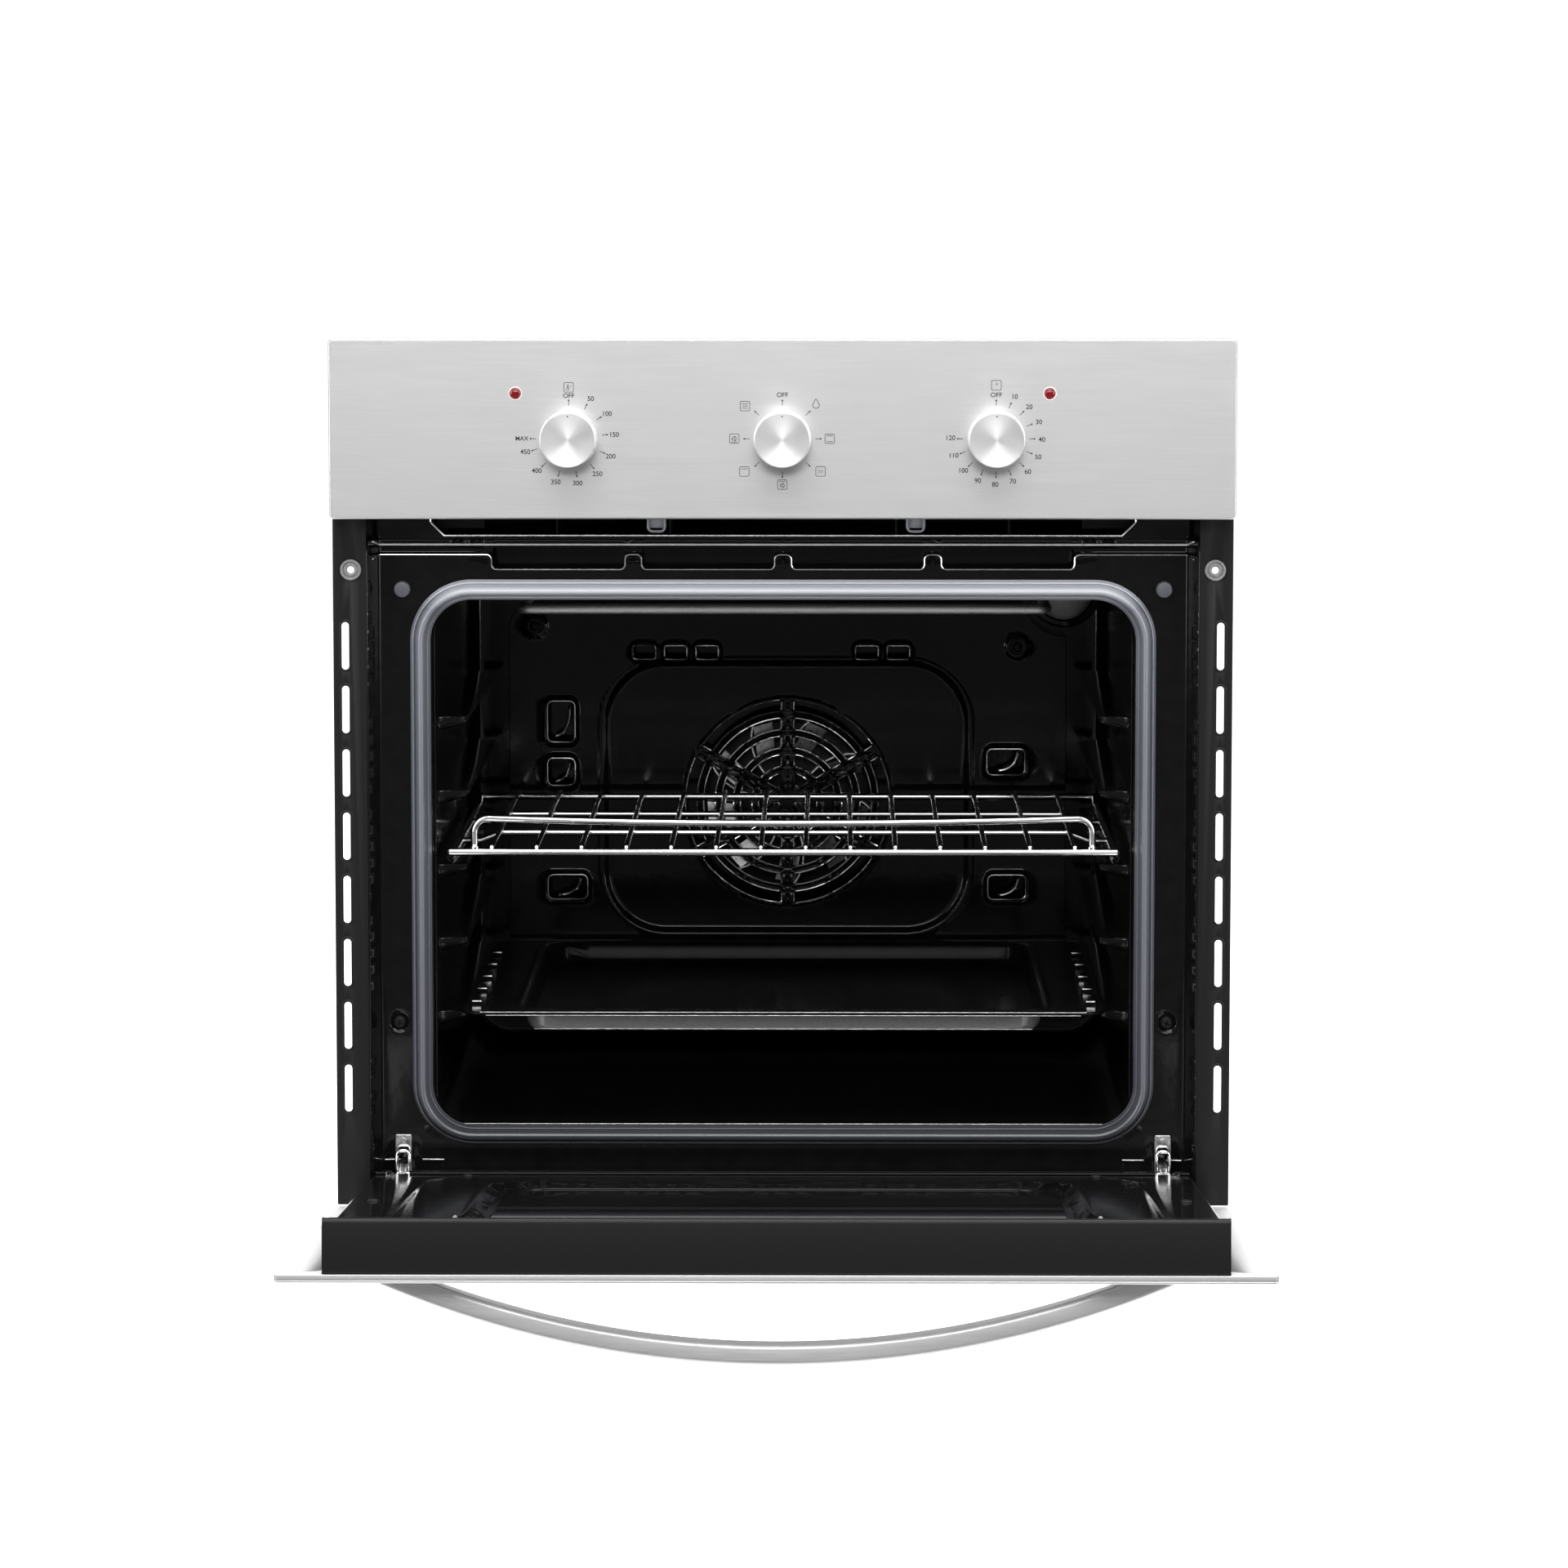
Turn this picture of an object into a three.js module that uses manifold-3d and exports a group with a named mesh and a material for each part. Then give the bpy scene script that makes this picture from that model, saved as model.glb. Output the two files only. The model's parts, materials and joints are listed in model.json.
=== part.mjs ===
// Built-in single wall oven, 595 mm wide, shown with its drop-down door open.
// Millimetres, +Z up, -Y towards the cook. The origin is the middle of the underside of the base plate.
import * as THREE from 'three';
import { mergeVertices } from 'three/addons/utils/BufferGeometryUtils.js';
import Module from 'manifold-3d';

const wasm = await Module();
wasm.setup();

// ---- Driving dimensions ----
const frontWidth = 595;
const bodyWidth = 560;
const bodyDepth = 525;
const bodyHeight = 560;
const sheet = 1;
const gap = 0.3;

const panelTop = 578;
const panelHeight = 118;
const panelDepth = 23.2;
const doorGap = 3.5;
const doorBottom = -12;
const doorOpen = 85;

const cavityHalfWidth = 232;
const cavityFloor = 46;
const cavityTop = 410;
const shelfLevels = [124.5, 174.2, 224, 273.8, 323.5];
const trayLevel = 0;
const rackLevel = 2;

const knobDiameter = 38;
const knobSpacing = 140;
const knobHeight = 512.8;
const fanHeight = 226;
const hingeX = 254.5;

// ---- Planes worked out from them ----
const side = bodyWidth / 2;
const frontPlane = -bodyDepth / 2;
const rearPlane = bodyDepth / 2;
const panelFront = frontPlane - 25;
const frameFront = frontPlane + 19;
const cavityRear = rearPlane - 84;
const coverFront = cavityRear - 26;
const doorFront = panelFront;
const doorTop = panelTop - panelHeight - doorGap;
const pivot = { y: doorFront + 16, z: 10 };

// ---- Solids: three.js geometry in, manifold joins and cuts, three.js geometry out ----
function toSolid(geometry) {
  const bare = geometry.clone();
  bare.deleteAttribute('normal');
  bare.deleteAttribute('uv');
  const merged = mergeVertices(bare, 1e-4);
  const points = merged.attributes.position.array;
  const corners = merged.index.array;
  const kept = [];
  let volume = 0;
  for (let i = 0; i < corners.length; i += 3) {
    const [a, b, c] = [corners[i], corners[i + 1], corners[i + 2]];
    if (a === b || b === c || c === a) continue;
    kept.push(a, b, c);
    const [p, q, r] = [a, b, c].map((n) => new THREE.Vector3().fromArray(points, 3 * n));
    volume += p.dot(q.cross(r));
  }
  if (volume < 0) kept.reverse();
  const source = { numProp: 3, vertProperties: points, triVerts: new Uint32Array(kept) };
  return new wasm.Manifold(new wasm.Mesh(source));
}

function toGeometry(solid) {
  const mesh = solid.getMesh();
  const geometry = new THREE.BufferGeometry();
  geometry.setAttribute('position', new THREE.BufferAttribute(mesh.vertProperties, 3));
  geometry.setIndex(new THREE.BufferAttribute(mesh.triVerts, 1));
  geometry.computeVertexNormals();
  return geometry;
}

const join = (...solids) => solids.reduce((whole, next) => whole.add(next));
const cut = (solid, ...tools) => tools.reduce((left, tool) => left.subtract(tool), solid);

function box(x0, x1, y0, y1, z0, z1) {
  const geometry = new THREE.BoxGeometry(x1 - x0, y1 - y0, z1 - z0);
  return toSolid(geometry.translate((x0 + x1) / 2, (y0 + y1) / 2, (z0 + z1) / 2));
}

function extrude(shape, length, curveSegments) {
  return new THREE.ExtrudeGeometry(shape, { depth: length, bevelEnabled: false, curveSegments });
}

// A shape drawn in X and Z, running back from y0 to y1.
function alongY(shape, y0, y1, curveSegments = 3) {
  return toSolid(extrude(shape, y1 - y0, curveSegments).rotateX(Math.PI / 2).translate(0, y1, 0));
}

// A shape drawn in X and Y, running up from z0 to z1.
function alongZ(shape, z0, z1, curveSegments = 3) {
  return toSolid(extrude(shape, z1 - z0, curveSegments).translate(0, 0, z0));
}

// A shape drawn in Y and Z, running across from x0 to x1.
function alongX(shape, x0, x1, curveSegments = 3) {
  const turn = new THREE.Matrix4().makeBasis(
    new THREE.Vector3(0, 1, 0),
    new THREE.Vector3(0, 0, 1),
    new THREE.Vector3(1, 0, 0),
  );
  return toSolid(extrude(shape, x1 - x0, curveSegments).applyMatrix4(turn).translate(x0, 0, 0));
}

function outline(points) {
  return new THREE.Shape(points.map(([u, v]) => new THREE.Vector2(u, v)));
}

function roundedRect(u0, u1, v0, v1, radius) {
  const shape = new THREE.Shape();
  shape.moveTo(u0 + radius, v0);
  shape.lineTo(u1 - radius, v0);
  shape.absarc(u1 - radius, v0 + radius, radius, -Math.PI / 2, 0);
  shape.lineTo(u1, v1 - radius);
  shape.absarc(u1 - radius, v1 - radius, radius, 0, Math.PI / 2);
  shape.lineTo(u0 + radius, v1);
  shape.absarc(u0 + radius, v1 - radius, radius, Math.PI / 2, Math.PI);
  shape.lineTo(u0, v0 + radius);
  shape.absarc(u0 + radius, v0 + radius, radius, Math.PI, 1.5 * Math.PI);
  return shape;
}

// A round bar or a turned profile about a line that runs along Y through (x, z).
function turnedY(profile, x, z, segments = 24) {
  const points = profile.map(([radius, y]) => new THREE.Vector2(radius, y));
  return toSolid(new THREE.LatheGeometry(points, segments).translate(x, 0, z));
}

function rodY(x, z, radius, y0, y1, segments = 16) {
  return turnedY([[0, y0], [radius, y0], [radius, y1], [0, y1]], x, z, segments);
}

function rodX(y, z, radius, x0, x1, segments = 16) {
  const geometry = new THREE.CylinderGeometry(radius, radius, x1 - x0, segments);
  return toSolid(geometry.rotateZ(Math.PI / 2).translate((x0 + x1) / 2, y, z));
}

// A path through given points, sampled exactly at them.
class Route extends THREE.Curve {
  constructor(points) {
    super();
    this.points = points;
  }

  getPoint(t) {
    const place = t * (this.points.length - 1);
    const n = Math.min(Math.max(Math.floor(place), 0), this.points.length - 2);
    return this.points[n].clone().lerp(this.points[n + 1], place - n);
  }

  getPointAt(u) {
    return this.getPoint(u);
  }

  getTangentAt(u) {
    return this.getTangent(u);
  }
}

// Corner points replaced by short round bends of the given radius.
function rounded(corners, radius, steps = 3) {
  const points = corners.map((corner) => new THREE.Vector3(...corner));
  const path = [points[0]];
  for (let i = 1; i < points.length - 1; i += 1) {
    const back = points[i - 1].clone().sub(points[i]).normalize();
    const on = points[i + 1].clone().sub(points[i]).normalize();
    const bend = Math.PI - back.angleTo(on);
    const reach = radius * Math.tan(bend / 2);
    const start = points[i].clone().addScaledVector(back, reach);
    const end = points[i].clone().addScaledVector(on, reach);
    for (let k = 0; k <= steps; k += 1) {
      const t = k / steps;
      const low = start.clone().lerp(points[i], t);
      path.push(low.lerp(points[i].clone().lerp(end, t), t));
    }
  }
  path.push(points[points.length - 1]);
  return path;
}

function tube(points, radius, sides = 8) {
  const ring = [];
  for (let i = 0; i < sides; i += 1) {
    const angle = (2 * Math.PI * (i + 0.5)) / sides;
    ring.push([radius * Math.cos(angle), radius * Math.sin(angle)]);
  }
  const options = { steps: points.length - 1, extrudePath: new Route(points) };
  return toSolid(new THREE.ExtrudeGeometry(outline(ring), options));
}

function wire(from, to, radius, sides = 4) {
  return tube([new THREE.Vector3(...from), new THREE.Vector3(...to)], radius, sides);
}

// ---- Materials ----
function material(color, roughness, metalness) {
  return new THREE.MeshStandardMaterial({ color, roughness, metalness });
}

const steel = material(0xd4d3d1, 0.3, 0.9);
const enamel = material(0x0b0b0c, 0.15, 0.1);
const blackPaint = material(0x222225, 0.45, 0.2);
const zinc = material(0xc9ccce, 0.35, 0.9);
const galvanised = material(0xa9adb0, 0.5, 0.8);
const chrome = material(0xe6e6e6, 0.15, 1.0);
const silicone = material(0x5c6066, 0.6, 0.0);
const wool = material(0xd8cf9a, 1.0, 0.0);
const darkGlass = material(0x15171a, 0.05, 0.0);
const lampGlass = material(0xdfe6ea, 0.05, 0.0);
const heaterSheath = material(0x8a8c8a, 0.4, 0.8);
const aluminium = material(0xdcdcdc, 0.25, 1.0);
const redLens = material(0x9c0c14, 0.3, 0.0);
const plastic = material(0xeeeee8, 0.6, 0.0);

const group = new THREE.Group();

function add(parent, name, solid, finish) {
  const mesh = new THREE.Mesh(toGeometry(solid), finish);
  mesh.name = name;
  parent.add(mesh);
}

const sides = [['left', -1], ['right', 1]];
const across = (sign, a, b) => (sign > 0 ? [a, b] : [-b, -a]);

// ---- Cabinet casing ----
const baseFront = frameFront - 4;
const basePlate = box(-side, side, baseFront, rearPlane, 0, sheet);
add(group, 'base_plate', basePlate, galvanised);

for (const [name, sign] of sides) {
  const [x0, x1] = across(sign, side - sheet, side);
  const slots = [];
  for (let i = 0; i < 6; i += 1) {
    const z = 430 + 16 * i;
    slots.push(box(x0 - 1, x1 + 1, rearPlane - 120, rearPlane - 60, z, z + 6));
  }
  const panel = box(x0, x1, frontPlane, rearPlane, sheet + gap, bodyHeight - sheet - gap);
  add(group, `${name}_side_panel`, cut(panel, ...slots), galvanised);
}

const innerSide = side - sheet - gap;
const topCover = box(-side, side, frontPlane, rearPlane, bodyHeight - sheet, bodyHeight);
const topSlots = [];
for (let i = 0; i < 6; i += 1) {
  topSlots.push(box(-150, 150, 150 + 14 * i, 156 + 14 * i, bodyHeight - 3, bodyHeight + 2));
}
add(group, 'top_cover', cut(topCover, ...topSlots), galvanised);

const rearCuts = [];
for (let i = 0; i < 5; i += 1) {
  rearCuts.push(box(-120, 120, rearPlane - 3, rearPlane + 2, 400 + 18 * i, 407 + 18 * i));
}
const inletX = -200;
const inletZ = 500;
rearCuts.push(rodY(inletX, inletZ - 40, 8, rearPlane - 3, rearPlane + 2));
const rearTop = bodyHeight - sheet - gap;
const rearPanel = box(-innerSide, innerSide, rearPlane - sheet, rearPlane, sheet + gap, rearTop);
add(group, 'rear_panel', cut(rearPanel, ...rearCuts), galvanised);
const blockRear = rearPlane - sheet - gap;
const terminalBlock = join(
  box(inletX - 30, inletX + 30, blockRear - 22, blockRear, inletZ - 15, inletZ + 15),
  box(inletX - 26, inletX + 26, blockRear - 28, blockRear - 21, inletZ - 6, inletZ + 6),
);
add(group, 'terminal_block', terminalBlock, plastic);

// ---- Mounting strips that screw to the cabinet sides ----
const stripOuter = frontWidth / 2;
const stripInner = stripOuter - 22;
const stripSheet = 1.5;
const slotX = 289.5;
const slotCount = 8;
const slotPitch = 42.27;
const topSlotZ = 374.6;
const mountX = 285.6;
const mountZ = 425;
for (const [name, sign] of sides) {
  const [x0, x1] = across(sign, stripInner, stripOuter);
  const [leg0, leg1] = across(sign, side + gap, side + gap + stripSheet);
  const bodyLeg = box(leg0, leg1, frontPlane - stripSheet / 2, frontPlane + 15, 0, bodyHeight - sheet);
  const tools = [];
  for (let i = 0; i < slotCount; i += 1) {
    const z = topSlotZ - slotPitch * i;
    const slot = roundedRect(sign * slotX - 2.5, sign * slotX + 2.5, z - 15.8, z + 15.8, 2.4);
    tools.push(alongY(slot, frontPlane - 5, frontPlane + 5, 1));
  }
  tools.push(rodY(sign * mountX, mountZ, 4.5, frontPlane - 5, frontPlane + 5));
  const strip = box(x0, x1, frontPlane - stripSheet, frontPlane, 0, bodyHeight - sheet);
  add(group, `${name}_mounting_strip`, cut(join(strip, bodyLeg), ...tools), blackPaint);
}

// A flanged sleeve that lines each screw hole.
for (const [name, sign] of sides) {
  const face = frontPlane - stripSheet - gap;
  const sleeve = [
    [2.5, face - 1.6], [7, face - 1.6], [7, face], [4.2, face],
    [4.2, frontPlane], [2.5, frontPlane], [2.5, face - 1.6],
  ];
  const grommet = turnedY(sleeve, sign * mountX, mountZ, 16);
  add(group, `${name}_mount_grommet`, grommet, silicone);
}

// ---- Front frame around the cavity mouth ----
const frameTop = 444;
const frameBase = sheet + gap;
const frameHalf = 268.5;
const frameSheet = 1.2;
const mouth = { half: 233, bottom: 47, top: 408, radius: 30 };
const frameSection = outline([
  [-276.5, frontPlane + gap], [-275.2, frontPlane + gap], [-frameHalf, frameFront], [frameHalf, frameFront],
  [275.2, frontPlane + gap], [276.5, frontPlane + gap],
  [frameHalf + 1, frameFront + frameSheet], [-frameHalf - 1, frameFront + frameSheet],
]);
const mouthShape = roundedRect(-mouth.half, mouth.half, mouth.bottom, mouth.top, mouth.radius);
const frameCuts = [alongY(mouthShape, frameFront - 2, frameFront + 4)];
const notchBottom = 424;
const notchTop = 436;
const notchPitch = 99.5;
const notchWidth = 88.6;
for (let i = 0; i < 4; i += 1) {
  const x = (i - 1.5) * notchPitch;
  const notch = roundedRect(x - notchWidth / 2, x + notchWidth / 2, notchBottom, notchTop, 3);
  frameCuts.push(alongY(notch, frameFront - 2, frameFront + 4, 1));
}
const receiver = { half: 5.5, bottom: 6, top: 44.3, depth: 32 };
const bumper = { x: 253, z: 410.8, radius: 5.5 };
const screw = { x: 256.5, z: 120.3, radius: 4.4 };
for (const sign of [-1, 1]) {
  const x = sign * hingeX;
  const slotHalf = receiver.half + gap;
  frameCuts.push(box(x - slotHalf, x + slotHalf, frameFront - 2, frameFront + 4, receiver.bottom - gap,
    receiver.top + gap));
  frameCuts.push(rodY(sign * bumper.x, bumper.z, 2.5, frameFront - 2, frameFront + 4, 10));
  frameCuts.push(rodY(sign * screw.x, screw.z, 2.3, frameFront - 2, frameFront + 4, 10));
}
add(group, 'front_frame', cut(alongZ(frameSection, frameBase, frameTop), ...frameCuts), enamel);

for (const [name, sign] of sides) {
  const back = frameFront - gap;
  const pad = [
    [0, back - 4.5], [bumper.radius - 1.2, back - 4.5], [bumper.radius, back - 3.2], [bumper.radius, back],
    [2.2, back], [2.2, frameFront + 5], [0, frameFront + 5],
  ];
  add(group, `${name}_door_bumper`, turnedY(pad, sign * bumper.x, bumper.z, 16), silicone);
  const head = [
    [0, back - 2.4], [2.6, back - 2.4], [screw.radius, back - 1], [screw.radius, back],
    [2, back], [2, frameFront + 9], [0, frameFront + 9],
  ];
  add(group, `${name}_frame_screw`, turnedY(head, sign * screw.x, screw.z, 16), blackPaint);
}

// ---- Door gasket ----
const gasketDepth = 11.5;
const gasketWidth = 11.6;
const gasketOuter = { half: 247, bottom: 38.5, top: 416.4, radius: 40 };
const gasketShape = roundedRect(
  -gasketOuter.half,
  gasketOuter.half,
  gasketOuter.bottom,
  gasketOuter.top,
  gasketOuter.radius,
);
const gasketHole = roundedRect(
  -gasketOuter.half + gasketWidth,
  gasketOuter.half - gasketWidth,
  gasketOuter.bottom + gasketWidth,
  gasketOuter.top - gasketWidth,
  gasketOuter.radius - gasketWidth,
);
gasketShape.holes.push(gasketHole);
const gasketRear = frameFront - gap;
add(group, 'door_gasket', alongY(gasketShape, gasketRear - gasketDepth, gasketRear, 4), silicone);

// ---- Cavity liner with pressed runners for the rack and tray ----
const linerFront = frameFront + frameSheet + gap;
const linerHalf = cavityHalfWidth + sheet;
const linerOuter = alongY(
  roundedRect(-linerHalf, linerHalf, cavityFloor - sheet, cavityTop + sheet, 27),
  linerFront,
  cavityRear + sheet,
);
const linerInner = alongY(
  roundedRect(-cavityHalfWidth, cavityHalfWidth, cavityFloor, cavityTop, 26),
  linerFront - 1,
  cavityRear,
);
const runnerReach = 20;
const runnerHeight = 7;
const runnerFront = frameFront + 22;
const runnerRear = cavityRear - 38;
const runners = [];
for (const level of shelfLevels) {
  for (const sign of [-1, 1]) {
    const profile = outline([
      [sign * (cavityHalfWidth + sheet / 2), level - gap],
      [sign * (cavityHalfWidth - runnerReach + 2), level - gap],
      [sign * (cavityHalfWidth - runnerReach), level - 2],
      [sign * (cavityHalfWidth - runnerReach + 2), level - runnerHeight + 1],
      [sign * (cavityHalfWidth + sheet / 2), level - runnerHeight - 4],
    ]);
    runners.push(alongY(profile, runnerFront, runnerRear));
  }
}
const shaftHoleRadius = 8;
const elementX = 30;
const elementZ = 391.4;
const elementRadius = 3.6;
const lamp = { x: 203, z: 379, radius: 20 };
const probe = { z: 362, y: cavityRear - 12, half: 55 };
const linerHoles = [rodY(0, fanHeight, shaftHoleRadius, cavityRear - 3, cavityRear + 5)];
for (const sign of [-1, 1]) {
  linerHoles.push(rodY(sign * elementX, elementZ, elementRadius + 1, cavityRear - 3, cavityRear + 5, 12));
}
linerHoles.push(rodY(lamp.x, lamp.z, lamp.radius - 4, cavityRear - 3, cavityRear + 5, 16));
add(group, 'cavity_liner', cut(join(cut(linerOuter, linerInner), ...runners), ...linerHoles), enamel);

// ---- Insulation blanket round the liner ----
const woolRear = cavityRear + 26;
const woolOuter = box(-262, 262, frontPlane + 52, woolRear, 8, 437);
const woolInner = box(-234.5, 234.5, frontPlane + 50, cavityRear + sheet + 0.7, 33, 412.5);
const woolHoles = [
  rodY(0, fanHeight, shaftHoleRadius + 2, cavityRear, woolRear + 2),
  rodY(lamp.x, lamp.z, 19, cavityRear, woolRear + 2, 16),
  rodY(-elementX, elementZ, 7, cavityRear, woolRear + 2, 12),
  rodY(elementX, elementZ, 7, cavityRear, woolRear + 2, 12),
];
add(group, 'insulation_blanket', cut(woolOuter, woolInner, ...woolHoles), wool);

// ---- Heating elements ----
const grillY = frontPlane + 105;
const grillPath = rounded([
  [-elementX, woolRear + 8, elementZ],
  [-elementX, 95, elementZ],
  [-182 + elementRadius, 95, elementZ],
  [-182 + elementRadius, grillY, elementZ],
  [182 - elementRadius, grillY, elementZ],
  [182 - elementRadius, 95, elementZ],
  [elementX, 95, elementZ],
  [elementX, woolRear + 8, elementZ],
], 15);
add(group, 'grill_element', tube(grillPath, elementRadius), heaterSheath);

const bakeZ = 38.6;
const bakePath = rounded([
  [-40, 165, bakeZ], [-40, 60, bakeZ], [-180, 60, bakeZ], [-180, -160, bakeZ],
  [180, -160, bakeZ], [180, 60, bakeZ], [40, 60, bakeZ], [40, 165, bakeZ],
], 20);
add(group, 'bake_element', tube(bakePath, elementRadius, 6), heaterSheath);

// ---- Convection fan, its motor and its cover ----
const cover = { half: 204, bottom: 66, top: 372, flange: cavityRear - gap };
const fanGrille = { inner: 13, rings: 5, pitch: 13.4, slot: 8.4, bar: 4.5 };
const notchRadius = 31;
const sectorEdges = [90, 30, -30, -90, -150, -210];

// A slot between two radii and two radial bars of even width.
function arcSlot(r0, r1, from, to, halfBar) {
  const steps = Math.max(2, Math.round(((to - from) * r1) / 1100));
  const points = [];
  for (const [radius, order] of [[r0, 1], [r1, -1]]) {
    const inset = (Math.asin(halfBar / radius) * 180) / Math.PI;
    for (let i = 0; i <= steps; i += 1) {
      const k = order > 0 ? i : steps - i;
      const angle = THREE.MathUtils.degToRad(from + inset + ((to - from - 2 * inset) * k) / steps);
      points.push([radius * Math.cos(angle), fanHeight + radius * Math.sin(angle)]);
    }
  }
  return outline(points);
}

const coverTools = [box(-cover.half + sheet, cover.half - sheet, coverFront + sheet, cover.flange + 1,
  cover.bottom + sheet, cover.top - sheet)];
for (let ring = 0; ring < fanGrille.rings; ring += 1) {
  const r0 = fanGrille.inner + ring * fanGrille.pitch;
  for (const edge of sectorEdges) {
    const slot = arcSlot(r0, r0 + fanGrille.slot, edge - 60, edge, fanGrille.bar);
    coverTools.push(alongY(slot, coverFront - 5, coverFront + 5));
  }
}
for (const x of [-105, -82, -59, 58, 81]) {
  coverTools.push(alongY(roundedRect(x - 8.3, x + 8.3, 331, 341, 2), coverFront - 1, coverFront + 5, 2));
}
const outlets = [
  [-176, -156, 270, 300],
  [-176, -156, 238, 258],
  [-176, -147, 154, 172],
  [146, 174, 246, 265],
  [147, 175, 154, 172],
];
for (const [x0, x1, z0, z1] of outlets) {
  coverTools.push(alongY(roundedRect(x0, x1, z0, z1, 4), coverFront - 1, coverFront + 5, 2));
}
const lampNotch = rodY(lamp.x, lamp.z, notchRadius, coverFront - 2, cavityRear + 2, 20);
const coverShape = roundedRect(-cover.half, cover.half, cover.bottom, cover.top, 18);
const coverBody = alongY(coverShape, coverFront, cover.flange, 4);
add(group, 'fan_cover', cut(coverBody, ...coverTools, lampNotch), enamel);

const fan = { radius: 66, disc: cavityRear - 7, blade: 13, blades: 9, shaft: 4 };
const motorFront = woolRear + 4;
const fanParts = [
  rodY(0, fanHeight, fan.radius, fan.disc, fan.disc + 1, 24),
  rodY(0, fanHeight, 8, fan.disc - fan.blade - 2, fan.disc + 1, 12),
  rodY(0, fanHeight, fan.shaft, fan.disc - 1, motorFront - gap, 12),
];
for (let i = 0; i < fan.blades; i += 1) {
  const blade = new THREE.BoxGeometry(40, fan.blade, 1.2);
  blade.rotateY(0.45).translate(44, fan.disc - fan.blade / 2 + 0.2, 0);
  blade.rotateY((2 * Math.PI * i) / fan.blades).translate(0, 0, fanHeight);
  fanParts.push(toSolid(blade));
}
add(group, 'fan_impeller', join(...fanParts), aluminium);

const motorRear = rearPlane - sheet - 3;
const motorCase = [
  [0, motorFront], [14, motorFront], [34, motorFront + 6],
  [34, motorRear], [0, motorRear],
];
const motor = join(
  turnedY(motorCase, 0, fanHeight, 24),
  box(-60, 60, motorFront + 6, motorFront + 8, fanHeight - 12, fanHeight + 12),
);
add(group, 'fan_motor', motor, galvanised);

const probeRod = rodX(probe.y, probe.z, 2.2, -probe.half, probe.half, 10);
add(group, 'temperature_probe', probeRod, chrome);

// ---- Oven lamp ----
const lampSeat = cavityRear - gap;
const lampDome = [
  [0, lampSeat - 17], [9, lampSeat - 15.5], [15.5, lampSeat - 10.5], [18, lampSeat - 4],
  [lamp.radius, lampSeat - 4], [lamp.radius, lampSeat], [0, lampSeat],
];
add(group, 'lamp_glass', turnedY(lampDome, lamp.x, lamp.z, 20), lampGlass);
const socketFront = cavityRear + gap;
const socketRear = cavityRear + 34;
const socket = [
  [0, socketFront], [14, socketFront], [14, cavityRear + 5], [17, cavityRear + 7], [17, socketRear],
  [0, socketRear],
];
add(group, 'lamp_holder', turnedY(socket, lamp.x, lamp.z, 16), plastic);

// ---- Cooling air duct and its blower ----
const ductFront = frontPlane + 17.5;
const ductRear = 120;
const duct = { bottom: 446.2, top: 486, half: 234, wall: 1 };
const ductOutline = (inset) => [
  [-duct.half + inset, duct.bottom + 9 + inset * 0.4],
  [-duct.half + 9 + inset * 0.4, duct.bottom + inset],
  [duct.half - 9 - inset * 0.4, duct.bottom + inset],
  [duct.half - inset, duct.bottom + 9 + inset * 0.4],
  [duct.half - inset, duct.top - inset],
  [-duct.half + inset, duct.top - inset],
];
const ductShape = outline(ductOutline(0));
ductShape.holes.push(outline(ductOutline(duct.wall)));
const ductRibs = [];
for (const x of [-150, -75, 75, 150]) {
  ductRibs.push(box(x - 0.5, x + 0.5, ductFront + 2, ductFront + 60, duct.bottom + 0.5, duct.top - 0.5));
}
add(group, 'air_duct', join(alongY(ductShape, ductFront, ductRear), ...ductRibs), blackPaint);

const blower = { front: ductRear + gap, rear: 204, half: 150, bottom: 446.2, top: 530, y: 165, z: 490 };
const shellHalf = blower.half - 1;
const mouthHalf = blower.half - 6;
const inletHalf = blower.half - 10;
const blowerShell = cut(
  box(-blower.half, blower.half, blower.front, blower.rear, blower.bottom, blower.top),
  box(-shellHalf, shellHalf, blower.front + 1, blower.rear - 1, blower.bottom + 1, blower.top - 1),
  box(-mouthHalf, mouthHalf, blower.front - 1, blower.front + 2, blower.bottom + 4, duct.top - 4),
  box(-inletHalf, inletHalf, blower.y - 22, blower.y + 22, blower.top - 2, blower.top + 2),
  rodX(blower.y, blower.z, 4.4, -blower.half - 1, -blower.half + 2, 12),
  rodX(blower.y, blower.z, 4.4, blower.half - 2, blower.half + 1, 12),
);
add(group, 'cooling_blower', blowerShell, galvanised);

const rotorStar = new THREE.Shape();
const vanes = 12;
for (let i = 0; i < 2 * vanes; i += 1) {
  const angle = (Math.PI * i) / vanes;
  const radius = i % 2 ? 17 : 28;
  const point = [blower.y + radius * Math.cos(angle), blower.z + radius * Math.sin(angle)];
  if (i) rotorStar.lineTo(...point);
  else rotorStar.moveTo(...point);
}
const rotorShaft = rodX(blower.y, blower.z, 4, -blower.half - 4, blower.half + 4, 12);
add(group, 'cooling_rotor', join(alongX(rotorStar, -140, 140), rotorShaft), galvanised);

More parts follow.
